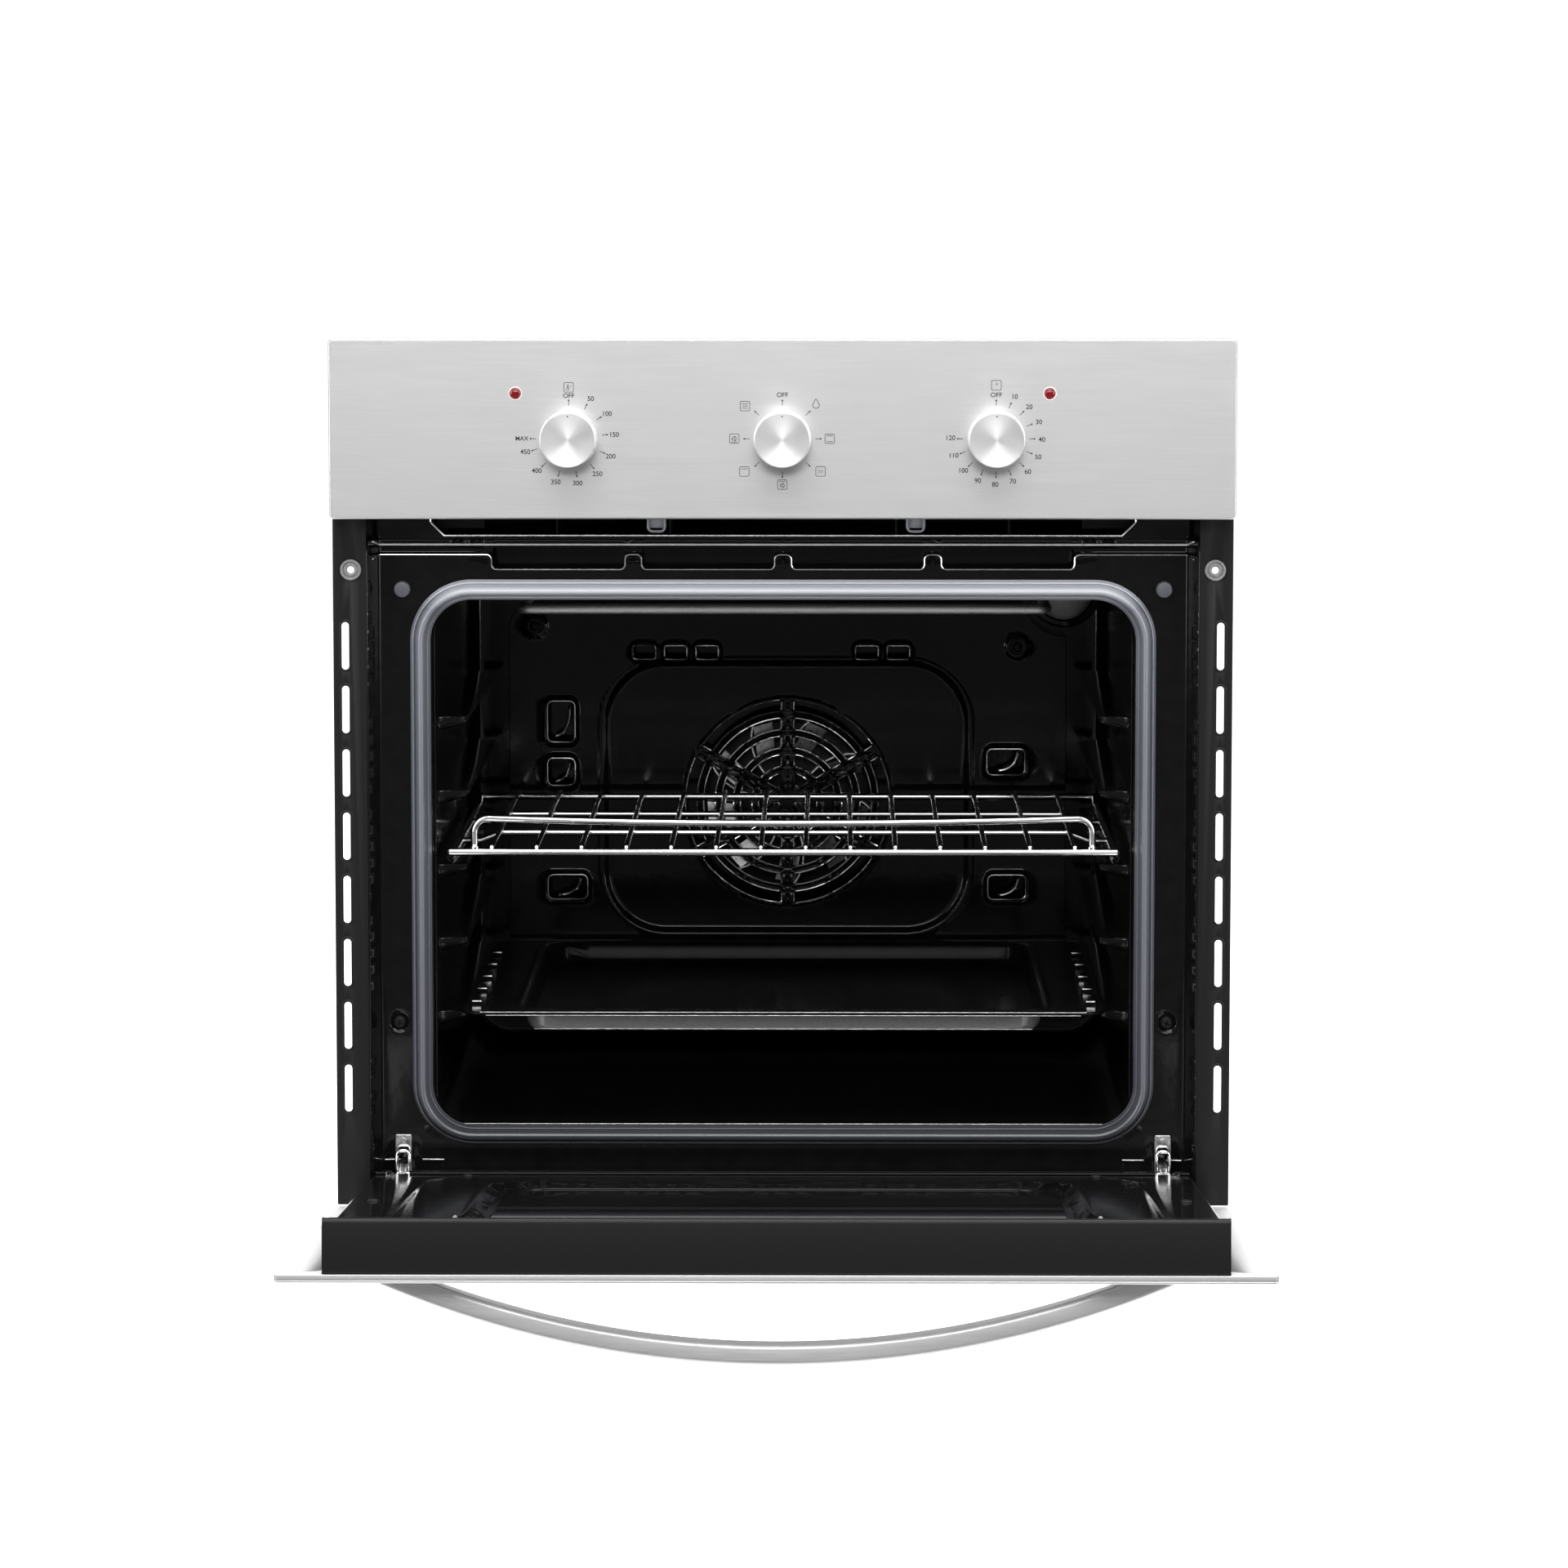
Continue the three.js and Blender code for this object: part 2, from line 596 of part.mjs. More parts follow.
// ---- Control panel, switches and lamps ----
const panelRear = panelFront + panelDepth;
const panelBottom = panelTop - panelHeight;
const frontHalf = frontWidth / 2;
const panelInner = frontHalf - 1.5;
const panelShell = cut(
  alongY(roundedRect(-frontHalf, frontHalf, panelBottom, panelTop, 3), panelFront, panelRear, 4),
  box(-panelInner, panelInner, panelFront + 1.5, panelRear + 1, panelBottom + 1.5, panelTop - 1.5),
);
const knobXs = { temperature: -knobSpacing, selector: 0, timer: knobSpacing };
const indicator = { x: 175, z: 542.4, radius: 3.7 };
const panelCuts = [];
for (const x of Object.values(knobXs)) {
  panelCuts.push(rodY(x, knobHeight, 4.5, panelFront - 1, panelFront + 3));
}
for (const sign of [-1, 1]) {
  const holeRadius = indicator.radius + gap;
  panelCuts.push(rodY(sign * indicator.x, indicator.z, holeRadius, panelFront - 1, panelFront + 3));
}
add(group, 'control_panel', cut(panelShell, ...panelCuts), steel);

const bracketFront = panelFront + 15;
const bracket = join(
  box(-205, 205, bracketFront, bracketFront + 1.2, knobHeight - 26, knobHeight + 38),
  box(-205, 205, bracketFront, panelRear - 2, knobHeight - 26, knobHeight - 24.8),
);
const bracketCuts = [];
for (const x of Object.values(knobXs)) {
  bracketCuts.push(rodY(x, knobHeight, 5, bracketFront - 1, bracketFront + 3));
}
for (const sign of [-1, 1]) {
  bracketCuts.push(rodY(sign * indicator.x, indicator.z, 6, bracketFront - 1, bracketFront + 3));
}
add(group, 'switch_bracket', cut(bracket, ...bracketCuts), galvanised);

const switchFront = bracketFront + 1.2 + gap;
const shaftEnd = switchFront + 14;
const switches = [
  ['thermostat', knobXs.temperature, 22, 34],
  ['selector_switch', knobXs.selector, 20, 40],
  ['timer_unit', knobXs.timer, 24, 38],
];
for (const [name, x, half, depth] of switches) {
  const body = join(
    box(x - half, x + half, switchFront, switchFront + depth * 0.6, knobHeight - 20, knobHeight + 20),
    rodY(x, knobHeight, half - 4, switchFront + depth * 0.5, switchFront + depth, 16),
  );
  const bore = rodY(x, knobHeight, 3.4, switchFront - 1, shaftEnd + 1, 12);
  add(group, name, cut(body, bore), plastic);
}

for (const [name, sign] of sides) {
  const r = indicator.radius;
  const lampRear = switchFront + 12;
  const lens = [
    [0, panelFront - 1.6], [r * 0.6, panelFront - 1.3], [r, panelFront - 0.4],
    [r, lampRear], [0, lampRear],
  ];
  add(group, `${name}_indicator_lamp`, turnedY(lens, sign * indicator.x, indicator.z, 16), redLens);
}

// Each knob carries the stub of the shaft that it turns.
const knobFace = panelFront - 21;
const knobRadius = knobDiameter / 2;
const knobBack = panelFront - 1;
const knobProfile = [
  [0, knobFace + 0.4], [knobRadius - 2.2, knobFace], [knobRadius - 0.9, knobFace + 1.3],
  [knobRadius, knobBack - 2], [knobRadius, knobBack], [3, knobBack], [3, shaftEnd], [0, shaftEnd],
];
const markTop = knobHeight + knobRadius - 3.5;
for (const [name, x] of Object.entries(knobXs)) {
  const turned = turnedY(knobProfile, x, knobHeight, 24);
  const mark = box(x - 0.6, x + 0.6, knobFace - 0.3, knobFace + 1, markTop - 3, markTop);
  add(group, `${name}_knob`, join(turned, mark), aluminium);
}

// ---- Hinge parts fixed to the cabinet ----
const armHalf = 2.5;
const armEye = 8;
const pinRadius = 3;
const receiverFront = frameFront - 1;
for (const [name, sign] of sides) {
  const x = sign * hingeX;
  const receiverRear = receiverFront + receiver.depth;
  const throat = armHalf + 0.5;
  const shell = cut(
    box(x - receiver.half, x + receiver.half, receiverFront, receiverRear, receiver.bottom, receiver.top),
    box(x - throat, x + throat, receiverFront - 1, receiverRear - 2, receiver.bottom + 3, receiver.top - 7),
  );
  add(group, `${name}_hinge_receiver`, shell, zinc);

  const eye = new THREE.Shape();
  eye.absarc(pivot.y, pivot.z, armEye, 0, 2 * Math.PI);
  const armOutline = outline([
    [pivot.y, pivot.z - 4],
    [pivot.y + 13, pivot.z - 2],
    [receiverFront + 2, pivot.z + 1],
    [receiverFront + 24, pivot.z + 1],
    [receiverFront + 27, pivot.z + 8],
    [receiverFront + 25, pivot.z + 24],
    [receiverFront + 19, pivot.z + 26],
    [receiverFront + 15, pivot.z + 22],
    [receiverFront + 10, pivot.z + 17],
    [receiverFront - 4, pivot.z + 15],
    [pivot.y + 14, pivot.z + 12],
    [pivot.y, pivot.z + 6],
  ]);
  const arm = join(alongX(eye, x - armHalf, x + armHalf, 6), alongX(armOutline, x - armHalf, x + armHalf));
  const pinBore = rodX(pivot.y, pivot.z, pinRadius + 0.15, x - 4, x + 4, 12);
  const clipBore = rodX(receiverFront - 7, pivot.z + 9, 1.6, x - 4, x + 4, 12);
  add(group, `${name}_hinge_arm`, cut(arm, pinBore, clipBore), zinc);

  // The stirrup that is flipped over the hook before the door is lifted off.
  const clipY = receiverFront - 7;
  const clipZ = pivot.z + 9;
  const clipHalf = 4.2;
  const stirrup = rounded([
    [x - clipHalf, clipY, clipZ],
    [x - clipHalf, clipY + 2, clipZ + 15],
    [x + clipHalf, clipY + 2, clipZ + 15],
    [x + clipHalf, clipY, clipZ],
  ], 2.5, 3);
  const axle = rodX(clipY, clipZ, 1.2, x - 5, x + 5, 10);
  add(group, `${name}_hinge_lock`, join(tube(stirrup, 1, 6), axle), zinc);
}

// ---- Wire rack, carried on the third pair of runners ----
const rackFront = frontPlane + 35;
const rackPitch = 30.05;
const rackWires = 14;
const rackRear = rackFront + 350;
const railZ = shelfLevels[rackLevel] + 2.7;
const barZ = railZ + 6.5;
const deckZ = barZ + 3.2;
const railX = 224;
const barRadius = 2.7;
const deckHalf = ((rackWires - 1) / 2) * rackPitch;
const rackParts = [];
for (const y of [rackFront, rackRear]) {
  rackParts.push(wire([-railX - 2, y, barZ], [railX + 2, y, barZ], barRadius, 6));
}
for (const sign of [-1, 1]) {
  const rail = rounded([
    [sign * railX, rackFront, barZ],
    [sign * railX, rackFront + 12, railZ],
    [sign * railX, rackRear - 12, railZ],
    [sign * railX, rackRear, barZ],
  ], 8, 2);
  rackParts.push(tube(rail, barRadius, 6));
}
for (const part of [1 / 3, 2 / 3]) {
  const y = rackFront + (rackRear - rackFront) * part;
  const ends = rounded([
    [-railX, y, railZ + 1],
    [-railX + 14, y, railZ + 1],
    [-deckHalf, y, barZ],
    [deckHalf, y, barZ],
    [railX - 14, y, railZ + 1],
    [railX, y, railZ + 1],
  ], 6, 2);
  rackParts.push(tube(ends, 2.2, 6));
}
for (let i = 0; i < rackWires; i += 1) {
  const x = i * rackPitch - deckHalf;
  rackParts.push(wire([x, rackFront - 1, deckZ], [x, rackRear + 1.5, deckZ], 1.7));
}
add(group, 'wire_rack', join(...rackParts), chrome);

// The pull loop stands on the front bar.
const loopX = 207;
const loopFoot = barZ + barRadius + gap;
const loopTop = barZ + 23;
const loopPath = rounded([
  [-loopX, rackFront, loopFoot],
  [-loopX, rackFront, loopTop],
  [-120, rackFront - 12, loopTop],
  [0, rackFront - 18, loopTop],
  [120, rackFront - 12, loopTop],
  [loopX, rackFront, loopTop],
  [loopX, rackFront, loopFoot],
], 12);
add(group, 'rack_loop', tube(loopPath, 2.4, 6), chrome);

// ---- Baking tray, carried on the lowest pair of runners ----
const tray = { half: 216.5, front: frontPlane + 28.5, rear: frontPlane + 404, depth: 14.5, wall: 1 };
const rimZ = shelfLevels[trayLevel] + tray.wall;
const panHalf = 176;
const panFront = tray.front + 14;
const panRear = tray.rear - 16;
const rimShape = roundedRect(-tray.half, tray.half, tray.front, tray.rear, 16);
const rimPlate = alongZ(rimShape, rimZ - tray.wall, rimZ, 4);
const rimLip = box(-tray.half + 16, tray.half - 16, tray.front, tray.front + 1.5, rimZ - 3.5, rimZ);
const panShape = roundedRect(-panHalf, panHalf, panFront, panRear, 22);
const panOuter = alongZ(panShape, rimZ - tray.depth, rimZ - tray.wall / 2, 4);
const panInner = alongZ(
  roundedRect(-panHalf + tray.wall, panHalf - tray.wall, panFront + tray.wall, panRear - tray.wall, 21),
  rimZ - tray.depth + tray.wall,
  rimZ + 1,
  4,
);
const trayRibs = [];
for (let i = 0; i < 5; i += 1) {
  const y = tray.front + 40 + i * 62;
  for (const sign of [-1, 1]) {
    const [x0, x1] = across(sign, 206, 213);
    trayRibs.push(box(x0, x1, y - 2, y + 2, rimZ - 0.5, rimZ + 2));
  }
}
add(group, 'baking_tray', join(cut(join(rimPlate, rimLip, panOuter), panInner), ...trayRibs), enamel);

// ---- Door: drawn closed about its pivot, then swung open ----
const door = new THREE.Group();
door.position.set(0, pivot.y, pivot.z);
door.rotation.x = THREE.MathUtils.degToRad(doorOpen);
group.add(door);

const closedFront = doorFront - pivot.y;
const closedTop = doorTop - pivot.z;
const closedBottom = doorBottom - pivot.z;
const skinDepth = 5;
const skinSheet = 1.2;
const boxHalf = 269.3;
const boxFront = closedFront + skinDepth + gap;
const boxRear = closedFront + 38;
const panelPlane = closedFront + 30.5;
const windowHalf = 205;
const windowBottom = closedBottom + 95;
const windowTop = closedTop - 105;

const skinBack = closedFront + skinDepth;
const skinInner = frontHalf - skinSheet;
const skinPocket = box(
  -skinInner,
  skinInner,
  closedFront + skinSheet,
  skinBack + 1,
  closedBottom + skinSheet,
  closedTop - skinSheet,
);
const windowShape = roundedRect(-windowHalf, windowHalf, windowBottom, windowTop, 6);
const skin = cut(
  box(-frontHalf, frontHalf, closedFront, skinBack, closedBottom, closedTop),
  skinPocket,
  alongY(windowShape, closedFront - 1, closedFront + 3, 4),
);
add(door, 'door_skin', skin, steel);

const glassLap = 25;
const outerGlass = box(
  -windowHalf - glassLap,
  windowHalf + glassLap,
  closedFront + skinSheet + gap,
  skinBack,
  windowBottom - glassLap,
  windowTop + glassLap,
);
add(door, 'door_outer_glass', outerGlass, darkGlass);

const frameWall = 1.5;
const boxTop = closedTop - 2.5;
const boxBottom = closedBottom + 8;
const wallRear = panelPlane - 1.2 - gap;
const capDepth = 11;
const innerBottom = 21;
const boxSolid = join(
  box(-boxHalf, boxHalf, boxFront, wallRear, boxBottom, boxTop - 2),
  box(-boxHalf, boxHalf, boxFront, boxRear, boxTop - capDepth, boxTop),
);
const boxInner = boxHalf - frameWall;
const boxFloor = boxFront + frameWall;
const capBottom = boxTop - capDepth;
const boxTools = [
  box(-boxInner, boxInner, boxFloor, wallRear + 1, boxBottom + frameWall, capBottom - 1),
  box(-windowHalf - 10, windowHalf + 10, boxFront - 1, boxFront + 3, windowBottom - 10, windowTop + 10),
  box(-boxInner, boxInner, boxFloor, boxRear - frameWall, capBottom - 2, boxTop - frameWall),
];
const channelHalf = 7;
for (const sign of [-1, 1]) {
  const [x0, x1] = across(sign, hingeX - channelHalf - 0.5, hingeX + channelHalf + 0.5);
  boxTools.push(box(x0, x1, boxFloor, boxRear + 1, boxBottom - 1, boxBottom + frameWall + 1));
}
add(door, 'door_frame', cut(boxSolid, ...boxTools), blackPaint);

const innerWindow = { half: 178, bottom: 92, top: closedTop - 92, radius: 34 };
const innerPanelTop = boxTop - capDepth - gap;
const aroundWindow = (reach, radius) => roundedRect(
  -innerWindow.half - reach,
  innerWindow.half + reach,
  innerWindow.bottom - reach,
  innerWindow.top + reach,
  radius,
);
const innerPanel = cut(
  join(
    box(-boxHalf, boxHalf, panelPlane - 1.2, panelPlane, innerBottom, innerPanelTop),
    alongY(aroundWindow(6, 38), panelPlane - 4.5, panelPlane - 1),
  ),
  alongY(aroundWindow(0, innerWindow.radius), panelPlane - 6, panelPlane + 1),
);
add(door, 'door_inner_panel', innerPanel, enamel);
const innerGlass = box(
  -innerWindow.half - 12,
  innerWindow.half + 12,
  panelPlane - 8.8,
  panelPlane - 4.8,
  innerWindow.bottom - 12,
  innerWindow.top + 12,
);
add(door, 'door_inner_glass', innerGlass, darkGlass);

// A bowed bar whose ends run down onto the skin.
const handle = { bow: 52, radius: 615, thick: 13, width: 22, drop: 42 };
const handleBow = new THREE.Shape();
const bowPoint = (radius, x) => Math.sqrt(radius * radius - x * x) - (handle.radius - handle.bow);
const endX = (radius) => Math.sqrt(radius * radius - (handle.radius - handle.bow) ** 2);
const outerEnd = endX(handle.radius);
const innerEnd = endX(handle.radius - handle.thick);
const bowSteps = 16;
const handlePoints = [];
for (let i = 0; i <= bowSteps; i += 1) {
  const x = outerEnd * (1 - (2 * i) / bowSteps);
  handlePoints.push(new THREE.Vector2(x, closedFront - gap - bowPoint(handle.radius, x)));
}
for (let i = 0; i <= bowSteps; i += 1) {
  const x = innerEnd * ((2 * i) / bowSteps - 1);
  handlePoints.push(new THREE.Vector2(x, closedFront - gap - bowPoint(handle.radius - handle.thick, x)));
}
handleBow.setFromPoints(handlePoints);
const handleBase = closedTop - handle.drop - handle.width / 2;
add(door, 'door_handle', alongZ(handleBow, handleBase, handleBase + handle.width), steel);

// Steel channels in the door that turn on the arms, with their pins and balance springs.
const channelTop = 170;
const channelSheet = 1.5;
const channelFront = boxFront + frameWall + gap;
for (const [name, sign] of sides) {
  const x = sign * hingeX;
  const channelInner = channelHalf - channelSheet;
  const channelFloor = channelFront + channelSheet;
  const channel = cut(
    box(x - channelHalf, x + channelHalf, channelFront, wallRear - 1, -9, channelTop),
    box(x - channelInner, x + channelInner, channelFloor, wallRear, -10, channelTop + 1),
    box(x - channelHalf, x + channelHalf, channelFront - 1, channelFloor + 1, -10, armEye + 2),
    rodX(0, 0, pinRadius + 0.15, x - 10, x + 10, 12),
  );
  add(door, `${name}_hinge_channel`, channel, galvanised);
  add(door, `${name}_hinge_pin`, rodX(0, 0, pinRadius, x - channelHalf - 1, x + channelHalf + 1, 12), zinc);
  const coil = new THREE.CylinderGeometry(4.2, 4.2, 95, 12);
  coil.rotateX(Math.PI / 2).translate(x, 2, 110);
  add(door, `${name}_hinge_spring`, toSolid(coil), zinc);
}

export default group;
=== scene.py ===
"""Looks of the built-in wall oven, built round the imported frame. Metres, +Z up, -Y towards the cook."""
import json
import math

import bmesh
import bpy
import numpy as np
from mathutils import Matrix, Vector
from mathutils.geometry import delaunay_2d_cdt


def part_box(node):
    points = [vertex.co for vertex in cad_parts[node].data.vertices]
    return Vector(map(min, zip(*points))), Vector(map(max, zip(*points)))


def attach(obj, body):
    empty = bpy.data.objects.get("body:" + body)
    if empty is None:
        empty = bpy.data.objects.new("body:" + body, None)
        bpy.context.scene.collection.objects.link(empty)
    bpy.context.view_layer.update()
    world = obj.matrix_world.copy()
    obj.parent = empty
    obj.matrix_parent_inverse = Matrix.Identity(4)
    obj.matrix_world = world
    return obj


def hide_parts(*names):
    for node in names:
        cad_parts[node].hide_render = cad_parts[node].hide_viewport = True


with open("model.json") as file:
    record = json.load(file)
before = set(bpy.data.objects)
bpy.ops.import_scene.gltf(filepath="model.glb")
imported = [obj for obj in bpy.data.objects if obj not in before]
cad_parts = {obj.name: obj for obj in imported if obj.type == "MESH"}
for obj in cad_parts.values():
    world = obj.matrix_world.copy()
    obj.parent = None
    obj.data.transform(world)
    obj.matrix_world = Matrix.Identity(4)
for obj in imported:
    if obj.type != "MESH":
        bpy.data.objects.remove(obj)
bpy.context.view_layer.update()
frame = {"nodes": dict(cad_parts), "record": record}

MM = 0.001
SCENE = bpy.context.scene


# ---- Shapes, in millimetres. A part is a list of points and a list of faces ----
def merged(*parts):
    points, faces = [], []
    for more_points, more_faces in parts:
        start = len(points)
        points.extend(more_points)
        faces.extend(tuple(i + start for i in face) for face in more_faces)
    return points, faces


def moved(part, x=0.0, y=0.0, z=0.0, turn=None):
    place = Matrix.Translation((x, y, z)) @ (turn or Matrix())
    return [tuple(place @ Vector(p)) for p in part[0]], part[1]


def rounded_rect(x0, x1, z0, z1, radius, steps=8):
    loop = []
    corners = ((x1 - radius, z0 + radius, -90), (x1 - radius, z1 - radius, 0),
               (x0 + radius, z1 - radius, 90), (x0 + radius, z0 + radius, 180))
    for cx, cz, start in corners:
        for k in range(steps + 1):
            angle = math.radians(start + 90 * k / steps)
            loop.append((cx + radius * math.cos(angle), cz + radius * math.sin(angle)))
    return loop


def circle(x, z, radius, count=32):
    angles = [2 * math.pi * k / count for k in range(count)]
    return [(x + radius * math.cos(a), z + radius * math.sin(a)) for a in angles]


def grown(loop, distance):
    """A counter-clockwise loop moved outwards along its own normals."""
    if not distance:
        return list(loop)
    made = []
    for i, (x, z) in enumerate(loop):
        (x0, z0), (x1, z1) = loop[i - 1], loop[(i + 1) % len(loop)]
        before = Vector((z - z0, x0 - x)).normalized()
        after = Vector((z1 - z, x - x1)).normalized()
        normal = before + after
        reach = distance / max(0.3, 0.5 * normal.length_squared)
        made.append((x + normal.x * reach, z + normal.y * reach))
    return made


def filleted(corners, radius, steps=6, closed=True):
    """Corner points replaced by arcs; works on 2-D and 3-D points. A corner may carry its own radius."""
    own = [c[1] if isinstance(c[0], tuple) else radius for c in corners]
    flat = [Vector(c[0]) if isinstance(c[0], tuple) else Vector(c) for c in corners]
    size = len(flat[0])
    flat = [p.to_3d() for p in flat]
    path = []
    for i, point in enumerate(flat):
        if not closed and i in (0, len(flat) - 1):
            path.append(point)
            continue
        back = flat[i - 1] - point
        on = flat[(i + 1) % len(flat)] - point
        bend = math.pi - back.angle(on)
        reach = min(own[i] * math.tan(bend / 2), 0.49 * back.length, 0.49 * on.length)
        arc = reach / math.tan(bend / 2) if bend > 1e-4 else 0
        if arc < 1e-4:
            path.append(point)
            continue
        back, on = back.normalized(), on.normalized()
        centre = point + (back + on).normalized() * math.hypot(arc, reach)
        start = point + back * reach - centre
        axis = start.cross(point + on * reach - centre).normalized()
        for k in range(steps + 1):
            path.append(centre + Matrix.Rotation(bend * k / steps, 3, axis) @ start)
    return [tuple(p[:size]) for p in path]


def loft(rings, caps=True, loop=False):
    """Rings of equal length, joined one to the next."""
    count = len(rings[0])
    points = [p for ring in rings for p in ring]
    faces = []
    spans = len(rings) if loop else len(rings) - 1
    for r in range(spans):
        a, b = r * count, ((r + 1) % len(rings)) * count
        faces += [(a + i, a + (i + 1) % count, b + (i + 1) % count, b + i) for i in range(count)]
    if caps and not loop:
        faces += [tuple(range(count)), tuple(range(len(points) - 1, len(points) - count - 1, -1))]
    return points, faces


def at_y(loop, y):
    return [(x, y, z) for x, z in loop]


def rim(loop, profile, closed=False):
    """A profile of (distance outwards, y) carried round a loop."""
    return loft([at_y(grown(loop, d), y) for d, y in profile], caps=not closed, loop=closed)


def slab(loop, y0, y1, edge=0.4, steps=3):
    """A flat plate with both rims rounded."""
    turn = [math.pi / 2 * k / steps for k in range(steps + 1)]
    front = [(edge * (math.sin(a) - 1), y0 + edge * (1 - math.cos(a))) for a in turn]
    back = [(d, y0 + y1 - y) for d, y in reversed(front)]
    support = -edge - 0.25
    return rim(loop, [(support, y0), *front, *back, (support, y1)])


def block(x0, x1, y0, y1, z0, z1, edge=0.4, corner=None):
    return slab(rounded_rect(x0, x1, z0, z1, corner or edge, 3), y0, y1, edge)


def turned(profile, x=0.0, z=0.0, count=48):
    """A closed profile of (radius, y) turned about a line along Y."""
    rings = []
    for k in range(count):
        c, s = math.cos(2 * math.pi * k / count), math.sin(2 * math.pi * k / count)
        rings.append([(x + r * c, y, z + r * s) for r, y in profile])
    points, faces = loft(rings, loop=True)
    return points, faces


def tube(path, radius, sides=12, closed=False):
    """A round bar along a path, with domed ends."""
    path = [Vector(p) for p in path]
    radii = [radius] * len(path)
    if not closed:
        dome = [math.radians(a) for a in (12, 38, 64, 90)]
        for end in (0, -1):
            tip = path[end]
            inward = (path[1] - tip if end == 0 else path[-2] - tip).normalized()
            extra = [tip + inward * radius * (1 - math.cos(a)) for a in dome]
            widths = [radius * math.sin(a) for a in dome]
            if end == 0:
                path[:1], radii[:1] = extra, widths
            else:
                path[-1:], radii[-1:] = extra[::-1], widths[::-1]
    count = len(path)
    tangents = []
    for i in range(count):
        before = path[i] - path[i - 1] if closed or i else path[1] - path[0]
        after = path[(i + 1) % count] - path[i] if closed or i < count - 1 else path[-1] - path[-2]
        tangents.append((before.normalized() + after.normalized()).normalized())
    side = tangents[0].orthogonal().normalized()
    rings = []
    for point, tangent, width in zip(path, tangents, radii):
        side = (side - tangent * side.dot(tangent)).normalized()
        up = tangent.cross(side)
        angles = [2 * math.pi * k / sides for k in range(sides)]
        rings.append([tuple(point + (side * math.cos(a) + up * math.sin(a)) * width) for a in angles])
    return loft(rings, caps=not closed, loop=closed)


def inside(points, loop):
    """Which of the points lie inside a loop."""
    points = np.asarray(points, float)
    x, z = points[:, 0], points[:, 1]
    found = np.zeros(len(points), bool)
    for i, (x1, z1) in enumerate(loop):
        x0, z0 = loop[i - 1]
        crosses = (z0 > z) != (z1 > z)
        if crosses.any():
            where = x0 + (z - z0) * (x1 - x0) / ((z1 - z0) or 1e-12)
            found ^= crosses & (x < where)
    return found


def closer(loop, gap=12.0):
    """A loop with more points along its long sides."""
    made = []
    for (x, z), (u, v) in zip(loop, loop[1:] + loop[:1]):
        parts = max(1, math.ceil(math.hypot(u - x, v - z) / gap))
        made += [(x + (u - x) * k / parts, z + (v - z) * k / parts) for k in range(parts)]
    return made


def stamped(outer, holes, xs, zs, height, rings=(0.0, 0.6, 1.3, 2.2), edge_rings=(0.0,)):
    """A pressed sheet: a fine net of triangles over outer less the holes, each point at y = height(x, z)."""
    outer, holes = closer(outer), [closer(loop) for loop in holes]
    points, edges, blocked = [], [], np.zeros(len(xs) * len(zs), bool)
    grid = [(x, z) for x in xs for z in zs]
    for loop in holes:
        for step in rings:
            wide = grown(loop, step)
            start, count = len(points), len(wide)
            points += wide
            edges += [(start + i, start + (i + 1) % count) for i in range(count)]
        blocked |= inside(grid, grown(loop, rings[-1] + 0.5))
    for step in edge_rings:
        narrow = grown(outer, -step)
        start, count = len(points), len(narrow)
        points += narrow
        edges += [(start + i, start + (i + 1) % count) for i in range(count)]
    kept = inside(grid, grown(outer, -edge_rings[-1] - 0.5)) & ~blocked
    points += [p for p, keep in zip(grid, kept) if keep]
    flat, _, triangles, *_ = delaunay_2d_cdt([Vector(p) for p in points], edges, [], 0, 1e-4)
    flat = [(p.x, p.y) for p in flat]
    middles = [(sum(flat[i][0] for i in t) / 3, sum(flat[i][1] for i in t) / 3) for t in triangles]
    wanted = inside(middles, outer)
    for loop in holes:
        wanted &= ~inside(middles, loop)
    faces = [t for t, keep in zip(triangles, wanted) if keep]
    used = sorted({i for t in faces for i in t})
    number = {old: new for new, old in enumerate(used)}
    made = [(flat[i][0], height(*flat[i]), flat[i][1]) for i in used]
    return made, [tuple(number[i] for i in t) for t in faces]


def lines(*stretches):
    """Positions of grid lines: (from, to, step) for each stretch."""
    found = []
    for start, end, step in stretches:
        count = max(1, round((end - start) / step))
        found += [start + (end - start) * k / count for k in range(count + 1)]
    return sorted(set(round(v, 4) for v in found))


def smooth(t):
    t = min(1.0, max(0.0, t))
    return t * t * (3 - 2 * t)


def box_distance(x, z, x0, x1, z0, z1, radius):
    """Signed distance to a rounded rectangle, negative inside."""
    dx = abs(x - (x0 + x1) / 2) - (x1 - x0) / 2 + radius
    dz = abs(z - (z0 + z1) / 2) - (z1 - z0) / 2 + radius
    return math.hypot(max(dx, 0), max(dz, 0)) + min(max(dx, dz), 0) - radius


def plate(outer, holes, y0, y1, edge=0.25):
    """A flat sheet with holes and slightly rounded rims."""
    curve = bpy.data.curves.new("plate", "CURVE")
    curve.dimensions = "2D"
    curve.fill_mode = "BOTH"
    curve.extrude = (y1 - y0) / 2 - edge
    curve.bevel_depth = edge
    curve.bevel_resolution = 1
    curve.offset = -edge
    for loop in [outer, *[hole[::-1] for hole in holes]]:
        spline = curve.splines.new("POLY")
        spline.points.add(len(loop) - 1)
        spline.points.foreach_set("co", [v for x, z in loop for v in (x, z, 0, 1)])
        spline.use_cyclic_u = True
    return from_object(bpy.data.objects.new("plate", curve), Matrix.Translation((0, (y0 + y1) / 2, 0)))


